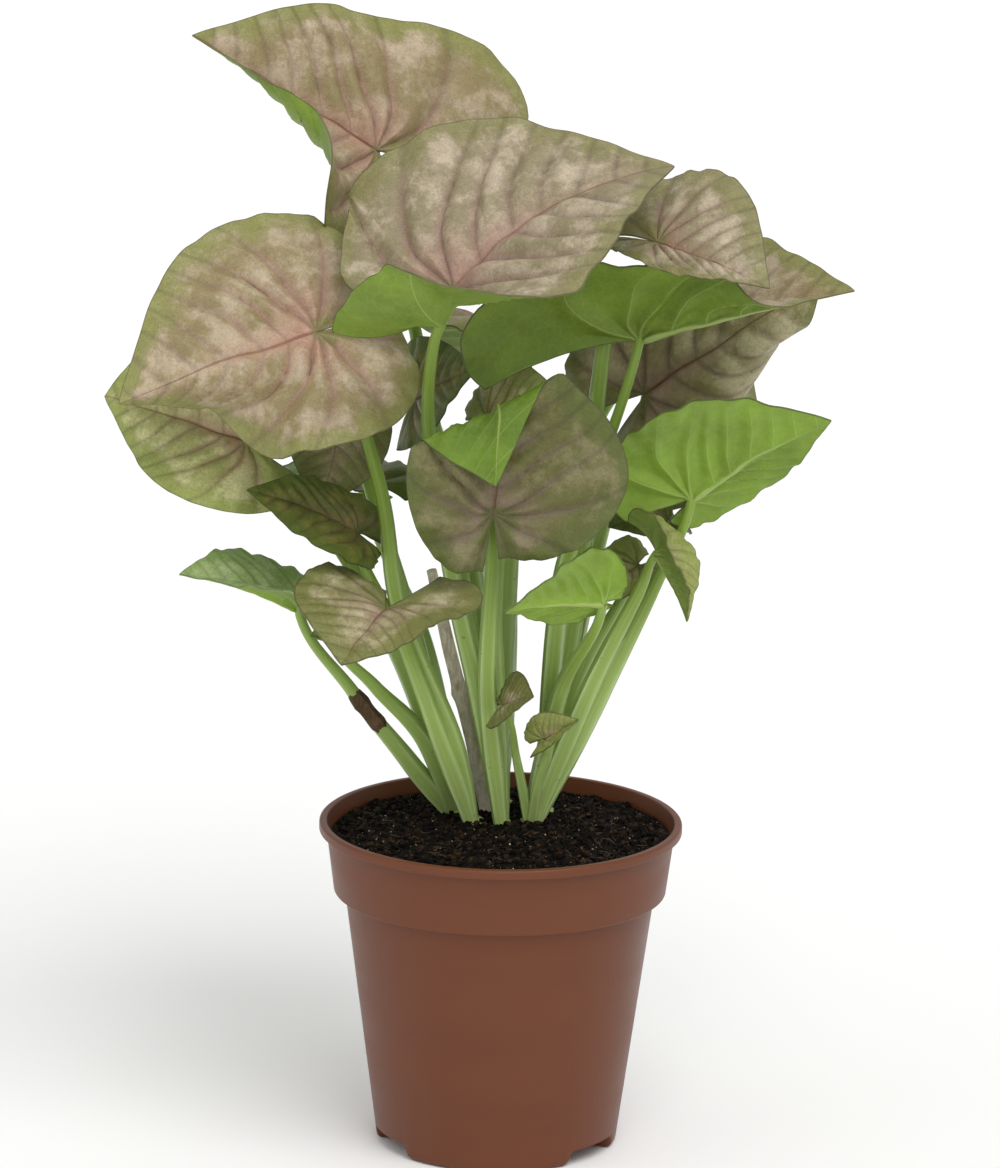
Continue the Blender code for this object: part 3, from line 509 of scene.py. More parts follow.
def vein_masks(mat):
    """Lines and distances of the veins, from the blade's own flat coordinates, which are over its length."""
    flat = add(mat, "UVMap", uv_map="blade")
    place = add(mat, "SeparateXYZ", {0: flat})
    out = add(mat, "Math", {0: place.outputs["X"]}, operation="ABSOLUTE")
    square = add(mat, "Math", {0: out, 1: out}, operation="MULTIPLY")
    curve = add(mat, "Math", {0: square, 1: VEIN_CURVE}, operation="MULTIPLY")
    bent = add(mat, "Math", {0: place.outputs["Y"], 1: curve}, operation="SUBTRACT")
    rise = add(mat, "Math", {0: out, 1: VEIN_RISE}, operation="MULTIPLY")
    start = add(mat, "Math", {0: bent, 1: rise}, operation="SUBTRACT")
    side = add(mat, "Math", {0: start, 1: VEIN_SPACING / 2.0}, operation="PINGPONG")
    turn = add(mat, "Math", {0: out, 1: bent}, operation="ARCTAN2")
    turn = add(mat, "Math", {0: turn, 1: math.atan(1.0 / VEIN_RISE)}, operation="SUBTRACT")
    fan = add(mat, "Math", {0: turn, 1: LOBE_VEIN_TURN / 2.0}, operation="PINGPONG")
    far = add(mat, "VectorMath", {0: flat}, operation="LENGTH").outputs["Value"]
    fan = add(mat, "Math", {0: fan, 1: far}, operation="MULTIPLY")
    front = add(mat, "Math", {0: start, 1: 0.0}, operation="GREATER_THAN")
    apart = add(mat, "Mix", {"Factor": front, "A": fan, "B": side}, data_type="FLOAT")
    width = add(mat, "MapRange", {"Value": out, "From Max": 0.5, "To Min": 0.008, "To Max": 0.0035})
    sides = add(mat, "MapRange", {"Value": apart, "From Max": width, "To Min": 1.0, "To Max": 0.0},
                interpolation_type="SMOOTHSTEP")
    # The midrib narrows to the tip, and there is none behind the petiole
    rib_width = add(mat, "MapRange", {"Value": place.outputs["Y"], "To Min": 0.011, "To Max": 0.003})
    midrib = add(mat, "MapRange", {"Value": out, "From Max": rib_width, "To Min": 1.0, "To Max": 0.0},
                 interpolation_type="SMOOTHSTEP")
    ahead = add(mat, "Math", {0: place.outputs["Y"], 1: -0.01}, operation="GREATER_THAN")
    midrib = add(mat, "Math", {0: midrib, 1: ahead}, operation="MULTIPLY")
    # The net of small veins has meshes about 3 mm wide
    spot = add(mat, "TexCoord").outputs["Object"]
    net = add(mat, "TexVoronoi", {"Vector": spot, "Scale": 330.0}, feature="DISTANCE_TO_EDGE")
    net = add(mat, "MapRange", {"Value": net, "From Max": 0.1, "To Min": 1.0, "To Max": 0.0},
              interpolation_type="SMOOTHSTEP")
    return {"spot": spot, "far": far, "apart": apart, "out": out, "midrib": midrib, "sides": sides,
            "net": net}


def leaf_upper(name, finish):
    """Upper side of a living leaf: satin cuticle, mottled pigment, painted shade in creases, green margin.
    """
    mat, shader = new_material(name + " leaf, satin upper side", 0.46, 0.36, LEAF_SOAK)
    vein = vein_masks(mat)
    spot = vein["spot"]
    margin = add(mat, "Attribute", attribute_name="margin").outputs["Fac"]
    # Clouds of pigment about 13 mm wide
    clouds = add(mat, "TexNoise", {"Vector": spot, "Scale": 75.0, "Detail": 6.0, "Roughness": 0.68})
    mottle = add(mat, "MapRange", {"Value": clouds, "From Min": 0.38, "From Max": 0.58},
                 interpolation_type="SMOOTHSTEP")
    colour = add(mat, "Mix", {"Factor": mottle, "A": linear(finish.field), "B": linear(finish.blotch)},
                 data_type="RGBA")
    # The blush lies along the midrib and the inner side veins, and round the petiole
    rib = add(mat, "MapRange", {"Value": vein["out"], "From Max": 0.1, "To Min": 0.85, "To Max": 0.0},
              interpolation_type="SMOOTHSTEP")
    beside = add(mat, "MapRange", {"Value": vein["apart"], "From Max": 0.04, "To Min": 0.75, "To Max": 0.0},
                 interpolation_type="SMOOTHSTEP")
    blush = add(mat, "Math", {0: rib, 1: beside}, operation="MAXIMUM")
    near = add(mat, "MapRange", {"Value": vein["far"], "From Min": 0.1, "From Max": 0.62, "To Min": 1.0,
                                 "To Max": 0.15}, interpolation_type="SMOOTHSTEP")
    blush = add(mat, "Math", {0: blush, 1: near}, operation="MULTIPLY")
    middle = add(mat, "MapRange", {"Value": vein["far"], "From Min": 0.02, "From Max": 0.3, "To Min": 0.9,
                                   "To Max": 0.0}, interpolation_type="SMOOTHSTEP")
    blush = add(mat, "Math", {0: blush, 1: middle}, operation="MAXIMUM")
    colour = add(mat, "Mix", {"Factor": blush, "A": colour, "B": linear(finish.flush)}, data_type="RGBA")
    # A green band runs inside the margin, about 7 mm wide and wider where the clouds let it
    ragged = add(mat, "Math", {0: clouds, 1: -26.0, 2: margin}, operation="MULTIPLY_ADD")
    band = add(mat, "MapRange", {"Value": ragged, "From Min": -10.0, "From Max": -3.0, "To Min": 0.85,
                                 "To Max": 0.0}, interpolation_type="SMOOTHSTEP")
    colour = add(mat, "Mix", {"Factor": band, "A": colour, "B": linear(finish.margin)}, data_type="RGBA")
    # Small fields between the finest veins differ a little in tone
    cells = add(mat, "TexVoronoi", {"Vector": spot, "Scale": 330.0})
    pick = add(mat, "SeparateXYZ", {0: cells.outputs["Color"]})
    fields = add(mat, "MapRange", {"Value": pick.outputs["X"], "To Min": 0.92, "To Max": 1.07})
    # Grain of the pigment, drawn at 0.7 mm because the real one is too fine to show
    grain = add(mat, "TexNoise", {"Vector": spot, "Scale": 1500.0, "Detail": 3.0, "Roughness": 0.7})
    tone = add(mat, "MapRange",
               {"Value": grain, "From Min": 0.3, "From Max": 0.7, "To Min": 0.8, "To Max": 1.14})
    tone = add(mat, "Math", {0: tone, 1: fields}, operation="MULTIPLY")
    # Painted shade: the creases along the veins are darkened as if they lay in shade
    painted_crease_shade = add(mat, "MapRange", {"Value": vein["apart"], "From Max": 0.03, "To Min": 0.78, "To Max": 1.0},
                 interpolation_type="SMOOTHSTEP")
    tone = add(mat, "Math", {0: tone, 1: painted_crease_shade}, operation="MULTIPLY")
    colour = add(mat, "VectorMath", {0: colour, "Scale": tone}, operation="SCALE")
    # Side veins fade outwards, and a last vein runs 5 mm inside the margin
    strong = add(mat, "MapRange",
                 {"Value": vein["far"], "From Min": 0.08, "From Max": 0.5, "To Min": 0.36, "To Max": 0.06})
    lines = add(mat, "Math", {0: vein["sides"], 1: strong}, operation="MULTIPLY")
    lines = add(mat, "Math", {0: lines, 1: vein["midrib"]}, operation="MAXIMUM")
    last = add(mat, "Math", {0: margin, 1: 5.0, 2: 0.3}, operation="COMPARE")
    last = add(mat, "Math", {0: last, 1: 0.2}, operation="MULTIPLY")
    lines = add(mat, "Math", {0: lines, 1: last}, operation="MAXIMUM")
    fine = add(mat, "Math", {0: vein["net"], 1: 0.14}, operation="MULTIPLY")
    lines = add(mat, "Math", {0: lines, 1: fine}, operation="MAXIMUM")
    lines = add(mat, "Math", {0: lines, 1: 0.8}, operation="MULTIPLY")
    colour = add(mat, "Mix", {"Factor": lines, "A": colour, "B": linear(finish.vein)}, data_type="RGBA")
    # Dark specks 0.5 mm wide, in most of the 4 mm cells
    dots = add(mat, "TexVoronoi", {"Vector": spot, "Scale": 230.0})
    some = add(mat, "SeparateXYZ", {0: dots.outputs["Color"]})
    some = add(mat, "Math", {0: some.outputs["Y"], 1: 0.4}, operation="GREATER_THAN")
    dots = add(mat, "MapRange", {"Value": dots.outputs["Distance"], "From Min": 0.04, "From Max": 0.08,
                                 "To Min": 0.5, "To Max": 0.0})
    dots = add(mat, "Math", {0: dots, 1: some}, operation="MULTIPLY")
    colour = add(mat, "Mix", {"Factor": dots, "A": colour, "B": linear("#5A4A30")}, data_type="RGBA")
    edge = add(mat, "MapRange",
               {"Value": margin, "From Min": 0.15, "From Max": 0.45, "To Min": 0.6, "To Max": 0.0})
    colour = add(mat, "Mix", {"Factor": edge, "A": colour, "B": linear("#3E3A22")}, data_type="RGBA")
    feed(mat, shader, "Base Color", colour)
    # Relief: creased veins, a shallow net and the pigment's grain
    height = add(mat, "Math", {0: grain, 1: -0.35, 2: lines}, operation="MULTIPLY_ADD")
    relief = add(mat, "Bump", {"Height": height, "Strength": 0.55, "Distance": 0.0007}, invert=True)
    feed(mat, shader, "Normal", relief)
    return mat


def leaf_under(name, finish):
    """Underside of a living leaf: plain green and a little duller, with raised paler veins."""
    mat, shader = new_material(name + " leaf, green underside", 0.5, 0.34, LEAF_SOAK)
    vein = vein_masks(mat)
    clouds = add(mat, "TexNoise", {"Vector": vein["spot"], "Scale": 50.0, "Detail": 5.0, "Roughness": 0.65})
    tone = add(mat, "MapRange",
               {"Value": clouds, "From Min": 0.3, "From Max": 0.7, "To Min": 0.7, "To Max": 1.2})
    green = add(mat, "RGB")
    green.outputs[0].default_value = linear(finish.under)
    colour = add(mat, "VectorMath", {0: green, "Scale": tone}, operation="SCALE")
    lines = add(mat, "Math", {0: vein["sides"], 1: 0.5}, operation="MULTIPLY")
    lines = add(mat, "Math", {0: lines, 1: vein["midrib"]}, operation="MAXIMUM")
    fine = add(mat, "Math", {0: vein["net"], 1: 0.12}, operation="MULTIPLY")
    lines = add(mat, "Math", {0: lines, 1: fine}, operation="MAXIMUM")
    lines = add(mat, "Math", {0: lines, 1: 0.8}, operation="MULTIPLY")
    colour = add(mat, "Mix", {"Factor": lines, "A": colour, "B": linear(finish.under_vein)},
                 data_type="RGBA")
    margin = add(mat, "Attribute", attribute_name="margin").outputs["Fac"]
    edge = add(mat, "MapRange",
               {"Value": margin, "From Min": 0.2, "From Max": 0.5, "To Min": 0.7, "To Max": 0.0})
    colour = add(mat, "Mix", {"Factor": edge, "A": colour, "B": linear("#33331A")}, data_type="RGBA")
    feed(mat, shader, "Base Color", colour)
    relief = add(mat, "Bump", {"Height": lines, "Strength": 0.5, "Distance": 0.0006})
    feed(mat, shader, "Normal", relief)
    return mat


def petiole_skin(settings):
    """Living stalk: smooth waxy skin, streaked, and paler towards the soil and along the sheath's edges."""
    mat, shader = new_material("Petiole, waxy green stalk", 0.38, 0.45, STALK_SOAK)
    flat = add(mat, "UVMap", uv_map="stalk")
    spot = add(mat, "TexCoord").outputs["Object"]
    long = add(mat, "VectorMath", {0: flat, 1: (14.0, 2.2, 1.0)}, operation="MULTIPLY")
    streaks = add(mat, "TexNoise", {"Vector": long, "Scale": 1.0, "Detail": 4.0, "Roughness": 0.65})
    height = add(mat, "SeparateXYZ", {0: spot})
    low = add(mat, "MapRange", {"Value": height.outputs["Z"], "From Min": 0.105, "From Max": 0.2,
                                "To Min": 1.0, "To Max": 0.0})
    colour = add(mat, "Mix", {"Factor": low, "A": tuple(settings.stalk), "B": tuple(settings.foot)},
                 data_type="RGBA")
    tone = add(mat, "MapRange",
               {"Value": streaks, "From Min": 0.3, "From Max": 0.7, "To Min": 0.8, "To Max": 1.16})
    colour = add(mat, "VectorMath", {0: colour, "Scale": tone}, operation="SCALE")
    ridge = add(mat, "Attribute", attribute_name="ridge").outputs["Fac"]
    pale = add(mat, "Math", {0: ridge, 1: 0.6}, operation="MULTIPLY")
    colour = add(mat, "Mix", {"Factor": pale, "A": colour, "B": linear("#C9DDA4")}, data_type="RGBA")
    # Brown freckles about 1 mm wide, few and far between
    freckles = add(mat, "TexNoise", {"Vector": spot, "Scale": 420.0, "Detail": 1.0})
    freckles = add(mat, "MapRange", {"Value": freckles, "From Min": 0.74, "From Max": 0.8, "To Max": 0.5})
    colour = add(mat, "Mix", {"Factor": freckles, "A": colour, "B": linear("#6A5A32")}, data_type="RGBA")
    feed(mat, shader, "Base Color", colour)
    relief = add(mat, "Bump", {"Height": streaks, "Strength": 0.25, "Distance": 0.0004})
    feed(mat, shader, "Normal", relief)
    return mat


def dry_bark(name, paper_colour, scarred):
    """Dead papery bark: dull, with splits along the stem and, as far as it is scarred, brown scars."""
    mat, shader = new_material(name, 0.85, 0.2)
    spot = add(mat, "TexCoord").outputs["Object"]
    long = add(mat, "VectorMath", {0: spot, 1: (900.0, 900.0, 120.0)}, operation="MULTIPLY")
    splits = add(mat, "TexNoise", {"Vector": long, "Scale": 1.0, "Detail": 5.0, "Roughness": 0.7})
    scars = add(mat, "TexNoise", {"Vector": spot, "Scale": 260.0, "Detail": 3.0})
    scars = add(mat, "MapRange", {"Value": scars, "From Min": 0.5, "From Max": 0.68, "To Max": scarred})
    tone = add(mat, "MapRange",
               {"Value": splits, "From Min": 0.3, "From Max": 0.7, "To Min": 0.6, "To Max": 1.15})
    paper = add(mat, "RGB")
    paper.outputs[0].default_value = tuple(paper_colour)
    colour = add(mat, "VectorMath", {0: paper, "Scale": tone}, operation="SCALE")
    colour = add(mat, "Mix", {"Factor": scars, "A": colour, "B": linear("#7A5B45")}, data_type="RGBA")
    feed(mat, shader, "Base Color", colour)
    relief = add(mat, "Bump", {"Height": splits, "Strength": 0.7, "Distance": 0.0008})
    feed(mat, shader, "Normal", relief)
    return mat


def moulded_plastic(settings):
    """Injection moulded polypropylene: even colour, satin skin with faint flow bands and orange peel."""
    mat, shader = new_material("Pot, moulded polypropylene", settings.roughness, 0.35)
    spot = add(mat, "TexCoord").outputs["Object"]
    bands = add(mat, "VectorMath", {0: spot, 1: (14.0, 14.0, 60.0)}, operation="MULTIPLY")
    bands = add(mat, "TexNoise", {"Vector": bands, "Scale": 1.0, "Detail": 3.0})
    tone = add(mat, "MapRange",
               {"Value": bands, "From Min": 0.3, "From Max": 0.7, "To Min": 0.94, "To Max": 1.05})
    plain = add(mat, "RGB")
    plain.outputs[0].default_value = tuple(settings.colour)
    colour = add(mat, "VectorMath", {0: plain, "Scale": tone}, operation="SCALE")
    feed(mat, shader, "Base Color", colour)
    dull = add(mat, "MapRange", {"Value": bands, "From Min": 0.3, "From Max": 0.7,
                                 "To Min": settings.roughness - 0.05, "To Max": settings.roughness + 0.06})
    feed(mat, shader, "Roughness", dull)
    peel = add(mat, "TexNoise", {"Vector": spot, "Scale": 900.0, "Detail": 2.0})
    relief = add(mat, "Bump", {"Height": peel, "Strength": 0.12, "Distance": 0.0002})
    feed(mat, shader, "Normal", relief)
    return mat


def damp_peat(settings):
    """Damp peat and bark: almost black and dull, with drier brown crumbs."""
    mat, shader = new_material("Soil, damp peat", 0.85, 0.14)
    spot = add(mat, "TexCoord").outputs["Object"]
    cells = add(mat, "TexVoronoi", {"Vector": spot, "Scale": 620.0})
    pick = add(mat, "SeparateXYZ", {0: cells.outputs["Color"]})
    dry = add(mat, "MapRange", {"Value": pick.outputs["X"], "From Min": 0.45, "From Max": 1.0})
    dry = add(mat, "Math", {0: dry, 1: 3.0}, operation="POWER")
    colour = add(mat, "Mix", {"Factor": dry, "A": tuple(settings.dark), "B": tuple(settings.light)},
                 data_type="RGBA")
    feed(mat, shader, "Base Color", colour)
    rough = add(mat, "TexNoise", {"Vector": spot, "Scale": 900.0, "Detail": 4.0, "Roughness": 0.7})
    relief = add(mat, "Bump", {"Height": rough, "Strength": 0.9, "Distance": 0.0008})
    feed(mat, shader, "Normal", relief)
    return mat


def pale_grit():
    """Grains of perlite and sand: off-white, some yellower."""
    mat, shader = new_material("Soil grit, perlite and sand", 0.6)
    spot = add(mat, "TexCoord").outputs["Object"]
    cells = add(mat, "TexVoronoi", {"Vector": spot, "Scale": 300.0})
    pick = add(mat, "SeparateXYZ", {0: cells.outputs["Color"]})
    colour = add(mat, "Mix", {"Factor": pick.outputs["X"], "A": linear("#8D7350"), "B": linear("#D8CDB4")},
                 data_type="RGBA")
    feed(mat, shader, "Base Color", colour)
    return mat


def pale_floor(settings):
    """Matt painted floor of the studio, with the faintest change of tone."""
    mat, shader = new_material("Floor, matt white", 0.9, 0.1)
    spot = add(mat, "TexCoord").outputs["Object"]
    tone = add(mat, "TexNoise", {"Vector": spot, "Scale": 1.5, "Detail": 2.0})
    tone = add(mat, "MapRange", {"Value": tone, "To Min": 0.99, "To Max": 1.0})
    plain = add(mat, "RGB")
    plain.outputs[0].default_value = tuple(settings.floor)
    colour = add(mat, "VectorMath", {0: plain, "Scale": tone}, operation="SCALE")
    feed(mat, shader, "Base Color", colour)
    return mat


def flat_outline(angle):
    """Distance from the petiole to the margin of the flat blade, on a smooth curve through OUTLINE."""
    angles, reaches = np.array(OUTLINE, float).T
    slopes = np.gradient(reaches, angles)
    turn = np.minimum(np.abs(angle), angles[-1])
    span = np.clip(np.searchsorted(angles, turn, side="right") - 1, 0, len(angles) - 2)
    step = angles[span + 1] - angles[span]
    t = (turn - angles[span]) / step
    start = (2 * t ** 3 - 3 * t ** 2 + 1) * reaches[span] + (t ** 3 - 2 * t ** 2 + t) * step * slopes[span]
    end = (3 * t ** 2 - 2 * t ** 3) * reaches[span + 1] + (t ** 3 - t ** 2) * step * slopes[span + 1]
    return start + end


def smooth(value):
    """A smooth step from 0 to 1."""
    value = np.clip(value, 0.0, 1.0)
    return value * value * (3.0 - 2.0 * value)


def vein_distance(across, along):
    """Distance to the nearest side vein, over the leaf's length, by the same rule as the painted veins."""
    out = np.abs(across)
    bent = along - VEIN_CURVE * out ** 2
    start = bent - VEIN_RISE * out
    side = np.abs((start / VEIN_SPACING + 0.5) % 1.0 - 0.5) * VEIN_SPACING
    turn = np.arctan2(out, bent) - math.atan(1.0 / VEIN_RISE)
    fan = np.abs((turn / LOBE_VEIN_TURN + 0.5) % 1.0 - 0.5) * LOBE_VEIN_TURN * np.hypot(out, along)
    return np.where(start > 0, side, fan)


def blade_axes(blade):
    """The blade's length and its directions to the right, along the chord and out of its upper side."""
    chord = np.subtract(blade.tip, blade.attach)
    length = np.linalg.norm(chord)
    along = chord / length
    normal = np.array(blade.face, float)
    normal = normal - normal.dot(along) * along
    normal = normal / np.linalg.norm(normal)
    return length, np.cross(along, normal), along, normal


def flat_place(blade, angle, reach):
    """Across and along of a polar place on the flat blade, over its length, before it is widened."""
    lobe = np.array(blade.lobes)[np.where(angle < 0, 0, 1)]
    behind = smooth((np.abs(angle) - LOBE_START) / LOBE_RUN)
    radius = reach * flat_outline(angle) * (1.0 + (lobe - 1.0) * behind)
    return radius * np.sin(np.radians(angle)), radius * np.cos(np.radians(angle))


def wander(blade, across, along):
    """The flat place that a blade's veins are drawn from: it strays a little, in each leaf's own way."""
    apart = BLADES.index(blade) * WANDER_APART
    strayed = np.empty((len(across), 2))
    for index, (u, v) in enumerate(zip(across, along)):
        shift_u, shift_v = [noise.noise(Vector((u * WANDER_SCALE + apart, v * WANDER_SCALE, apart + layer)))
                            for layer in WANDER_LAYERS]
        amount = VEIN_WANDER * min(1.0, math.hypot(u, v) / WANDER_RUN)
        strayed[index] = (u + shift_u * amount * WANDER_ACROSS, v + shift_v * amount)
    return strayed.T


def blade_points(blade, angle, reach, veins, settings):
    """Points in millimetres on the upper side, for polar places whose reach is 0 to 1 at the margin."""
    length, right, along, normal = blade_axes(blade)
    side = np.where(angle < 0, 0, 1)
    across_flat, v = flat_place(blade, angle, reach)
    u = across_flat * np.array(blade.width)[side]

    # The midrib, followed from the petiole in small steps
    pitch_start = math.radians(blade.bend) / 2.0
    chord = math.sin(pitch_start) / pitch_start if pitch_start else 1.0
    droop = np.radians(np.array(blade.droop)[side])
    rib_y = np.zeros_like(u)
    rib_z = np.zeros_like(u)
    pitch = np.zeros_like(u)
    for step in range(BEND_STEPS + 1):
        at = v * (step + 0.5) / BEND_STEPS if step < BEND_STEPS else v
        forward = pitch_start * (1.0 - 2.0 * np.maximum(at, 0.0))
        bent = smooth((at - np.array(blade.tip_slant)[side] * u - TIP_BEND_START) / TIP_BEND_RUN)
        forward = forward - math.radians(blade.tip_bend) * bent
        pitch = forward + droop * np.maximum(-at, 0.0) / LOBE_LENGTH
        if step < BEND_STEPS:
            rib_y += np.cos(pitch) * v / BEND_STEPS
            rib_z += np.sin(pitch) * v / BEND_STEPS

    # The half blade, followed from the midrib to the point
    fold = np.radians(np.array(blade.fold)[side])
    curl = np.radians(np.array(blade.curl)[side])
    across = np.zeros_like(u)
    rise = np.zeros_like(u)
    out = np.abs(u)
    for step in range(BEND_STEPS):
        part = (step + 0.5) / BEND_STEPS
        turn = fold + curl * out * part / HALF_WIDTH
        for roll_side, centre, spread, start, amount in blade.rolls:
            near = smooth(1.5 - 1.5 * np.abs(angle - roll_side * centre) / spread)
            near = np.where(angle * roll_side >= 0, near, 0.0)
            turn = turn + math.radians(amount) * near * smooth((reach * part - start) / (1.0 - start))
        across += np.cos(turn) * out / BEND_STEPS
        rise += np.sin(turn) * out / BEND_STEPS
    across = np.where(angle < 0, -across, across)
    wave = np.sin(np.radians(angle) * RIPPLES)
    rise = rise + blade.ripple / length * reach ** 2 * wave * np.minimum(1.0, out / RIPPLE_START)

    # Puffs between the veins, a groove along the midrib and fine waves at the margin
    near_vein = 1.0 - np.minimum(1.0, vein_distance(*veins) * 2.0 / VEIN_SPACING)
    near_rib = 1.0 - np.minimum(1.0, np.abs(veins[0]) / PUFF_RIB_WIDTH)
    puff = (1.0 - near_vein ** PUFF_POWER) * (1.0 - near_rib ** PUFF_RIB_POWER)
    rise = rise + settings.quilting * blade.quilt * puff * (1.0 - reach ** PUFF_MARGIN_POWER)
    groove = GROOVE_DEPTH / length * np.exp(-(veins[0] * length / GROOVE_WIDTH) ** 2)
    rise = rise - groove * smooth(v / GROOVE_RUN) * (1.0 - v)
    fine = sum(height * np.sin(np.radians(angle) * often + start) for often, height, start in FINE_WAVES)
    waves = settings.waves / MM / length * min(1.0, length / FINE_WAVE_LENGTH)
    rise = rise + waves * reach ** FINE_WAVE_POWER * fine * np.minimum(1.0, out / FINE_WAVE_RUN)

    # The place in the plant
    local_y = (rib_y - rise * np.sin(pitch)) / chord
    local_z = (rib_z + rise * np.cos(pitch)) / chord
    local_x = across / chord
    place = np.outer(local_x, right) + np.outer(local_y, along) + np.outer(local_z, normal)
    return np.array(blade.attach) + place * length


def petiole_end(blade, below):
    """Where the petiole stops under the blade, and the way the blade's upper side looks there."""
    _length, _right, along, normal = blade_axes(blade)
    pitch = math.radians(blade.bend) / 2.0
    up = normal * math.cos(pitch) - along * math.sin(pitch)
    return np.array(blade.attach) - up * below, up


def petiole_centres(blade, steps, below):
    """Points down the middle of a petiole, on a smooth curve through its course."""
    base_x, base_y, _radius = SHOOT_BASES[blade.shoot]
    end, up = petiole_end(blade, below)
    course = [np.array((base_x, base_y, PETIOLE_FOOT_Z))]
    course += [np.array(point, float) for point in blade.course]
    course.append(end)
    # Points beyond the ends give them their directions: up from the soil, and a soft turn into the blade
    first = course[0] - np.array((0.0, 0.0, FOOT_RUN))
    last_run = np.linalg.norm(course[-1] - course[-2])
    last = end + (up * TURN_UP + (course[-1] - course[-2]) / last_run * TURN_ON) * last_run
    points = [first] + course + [last]
    spans = len(course) - 1
    centres = []
    for step in range(steps + 1):
        place = step / steps * spans
        span = min(int(place), spans - 1)
        t = place - span
        a, b, c, d = points[span:span + 4]
        centres.append(0.5 * (2 * b + (c - a) * t + (2 * a - 5 * b + 4 * c - d) * t * t
                              + (3 * b - a - 3 * c + d) * t ** 3))
    return centres


def petiole_radius(blade, t):
    """Radius of a petiole from its foot (0) to the blade (1): it swells into a sheath above the soil."""
    foot, sheath, top = blade.radii
    taper = smooth((t - SHEATH_END) / (1.0 - SHEATH_END)) ** SHEATH_TAPER
    return foot + (sheath - foot) * smooth(t / SHEATH_RUN) + (top - sheath) * taper


def sheath_height(t):
    """How high the sheath's edges stand along a petiole: they rise over its foot and fade farther up."""
    fade, run = SHEATH_EDGE_FADE
    return float(smooth(t / SHEATH_EDGE_RISE) * (1.0 - smooth((t - fade) / run)))


def sheath_ridge(turn):
    """The two edges of the sheath, each 1 on its crest, at a turn round the petiole."""
    crest = 0.0
    for edge in SHEATH_EDGES:
        apart = math.remainder(turn - edge, 2.0 * math.pi)
        crest = max(crest, math.exp(-(apart / SHEATH_EDGE_WIDTH) ** 2))
    return crest


def tube(bm, centres, radii, sides, ridges=None, end_normal=None):
    """A closed tube along centres, with UV round and along it, and ridges as high as ridges says."""
    uv = bm.loops.layers.uv["stalk"]
    ridge = bm.verts.layers.float["ridge"]
    rows = len(centres) - 1
    made = bmesh.ops.create_grid(bm, x_segments=sides, y_segments=rows, size=1.0)["verts"]
    for face in {face for vert in made for face in vert.link_faces}:
        for loop in face.loops:
            loop[uv].uv = ((loop.vert.co.x + 1.0) / 2.0, (loop.vert.co.y + 1.0) / 2.0)
    tangent = centres[1] - centres[0]
    across = np.cross(tangent, (0.0, 1.0, 0.0))
    rings = []
    for index, centre in enumerate(centres):
        low = centres[max(index - 1, 0)]
        high = centres[min(index + 1, rows)]
        tangent = (high - low) / np.linalg.norm(high - low)
        if end_normal is not None and index == rows:
            tangent = end_normal
        across = across - across.dot(tangent) * tangent
        across = across / np.linalg.norm(across)
        rings.append((centre, across, np.cross(tangent, across), radii[index]))
    for vert in made:
        column = round((vert.co.x + 1.0) / 2.0 * sides) % sides
        row = round((vert.co.y + 1.0) / 2.0 * rows)
        centre, across, up, radius = rings[row]
        turn = 2.0 * math.pi * column / sides
        if ridges is not None:
            vert[ridge] = sheath_ridge(turn) * ridges[row]
            radius = radius * (1.0 + vert[ridge] * bpy.context.scene.arrowhead.petiole.ridge)
        vert.co = Vector(centre + radius * (across * math.cos(turn) + up * math.sin(turn))) * MM
    bmesh.ops.remove_doubles(bm, verts=made, dist=MERGE)
    bmesh.ops.holes_fill(bm, edges=[edge for edge in bm.edges if edge.is_boundary], sides=sides)


def stalk_mesh():
    """An empty bmesh with the layers that tube fills."""
    bm = bmesh.new()
    bm.loops.layers.uv.new("stalk")
    bm.verts.layers.float.new("ridge")
    return bm


def new_piece(name, bm, finishes, node=None, smooth_angle=50.0):
    """Puts a finished bmesh in the scene as a piece, and hides the solid it replaces if one is named."""
    mesh = bpy.data.meshes.new(name)
    bm.to_mesh(mesh)
    bm.free()
    for finish in finishes:
        mesh.materials.append(finish)
    mesh.shade_smooth()
    mesh.set_sharp_from_angle(angle=math.radians(smooth_angle))
    piece = bpy.data.objects.new(name, mesh)
    bpy.context.scene.collection.objects.link(piece)
    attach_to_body(piece, "root")
    if node:
        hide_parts(node)
    return piece


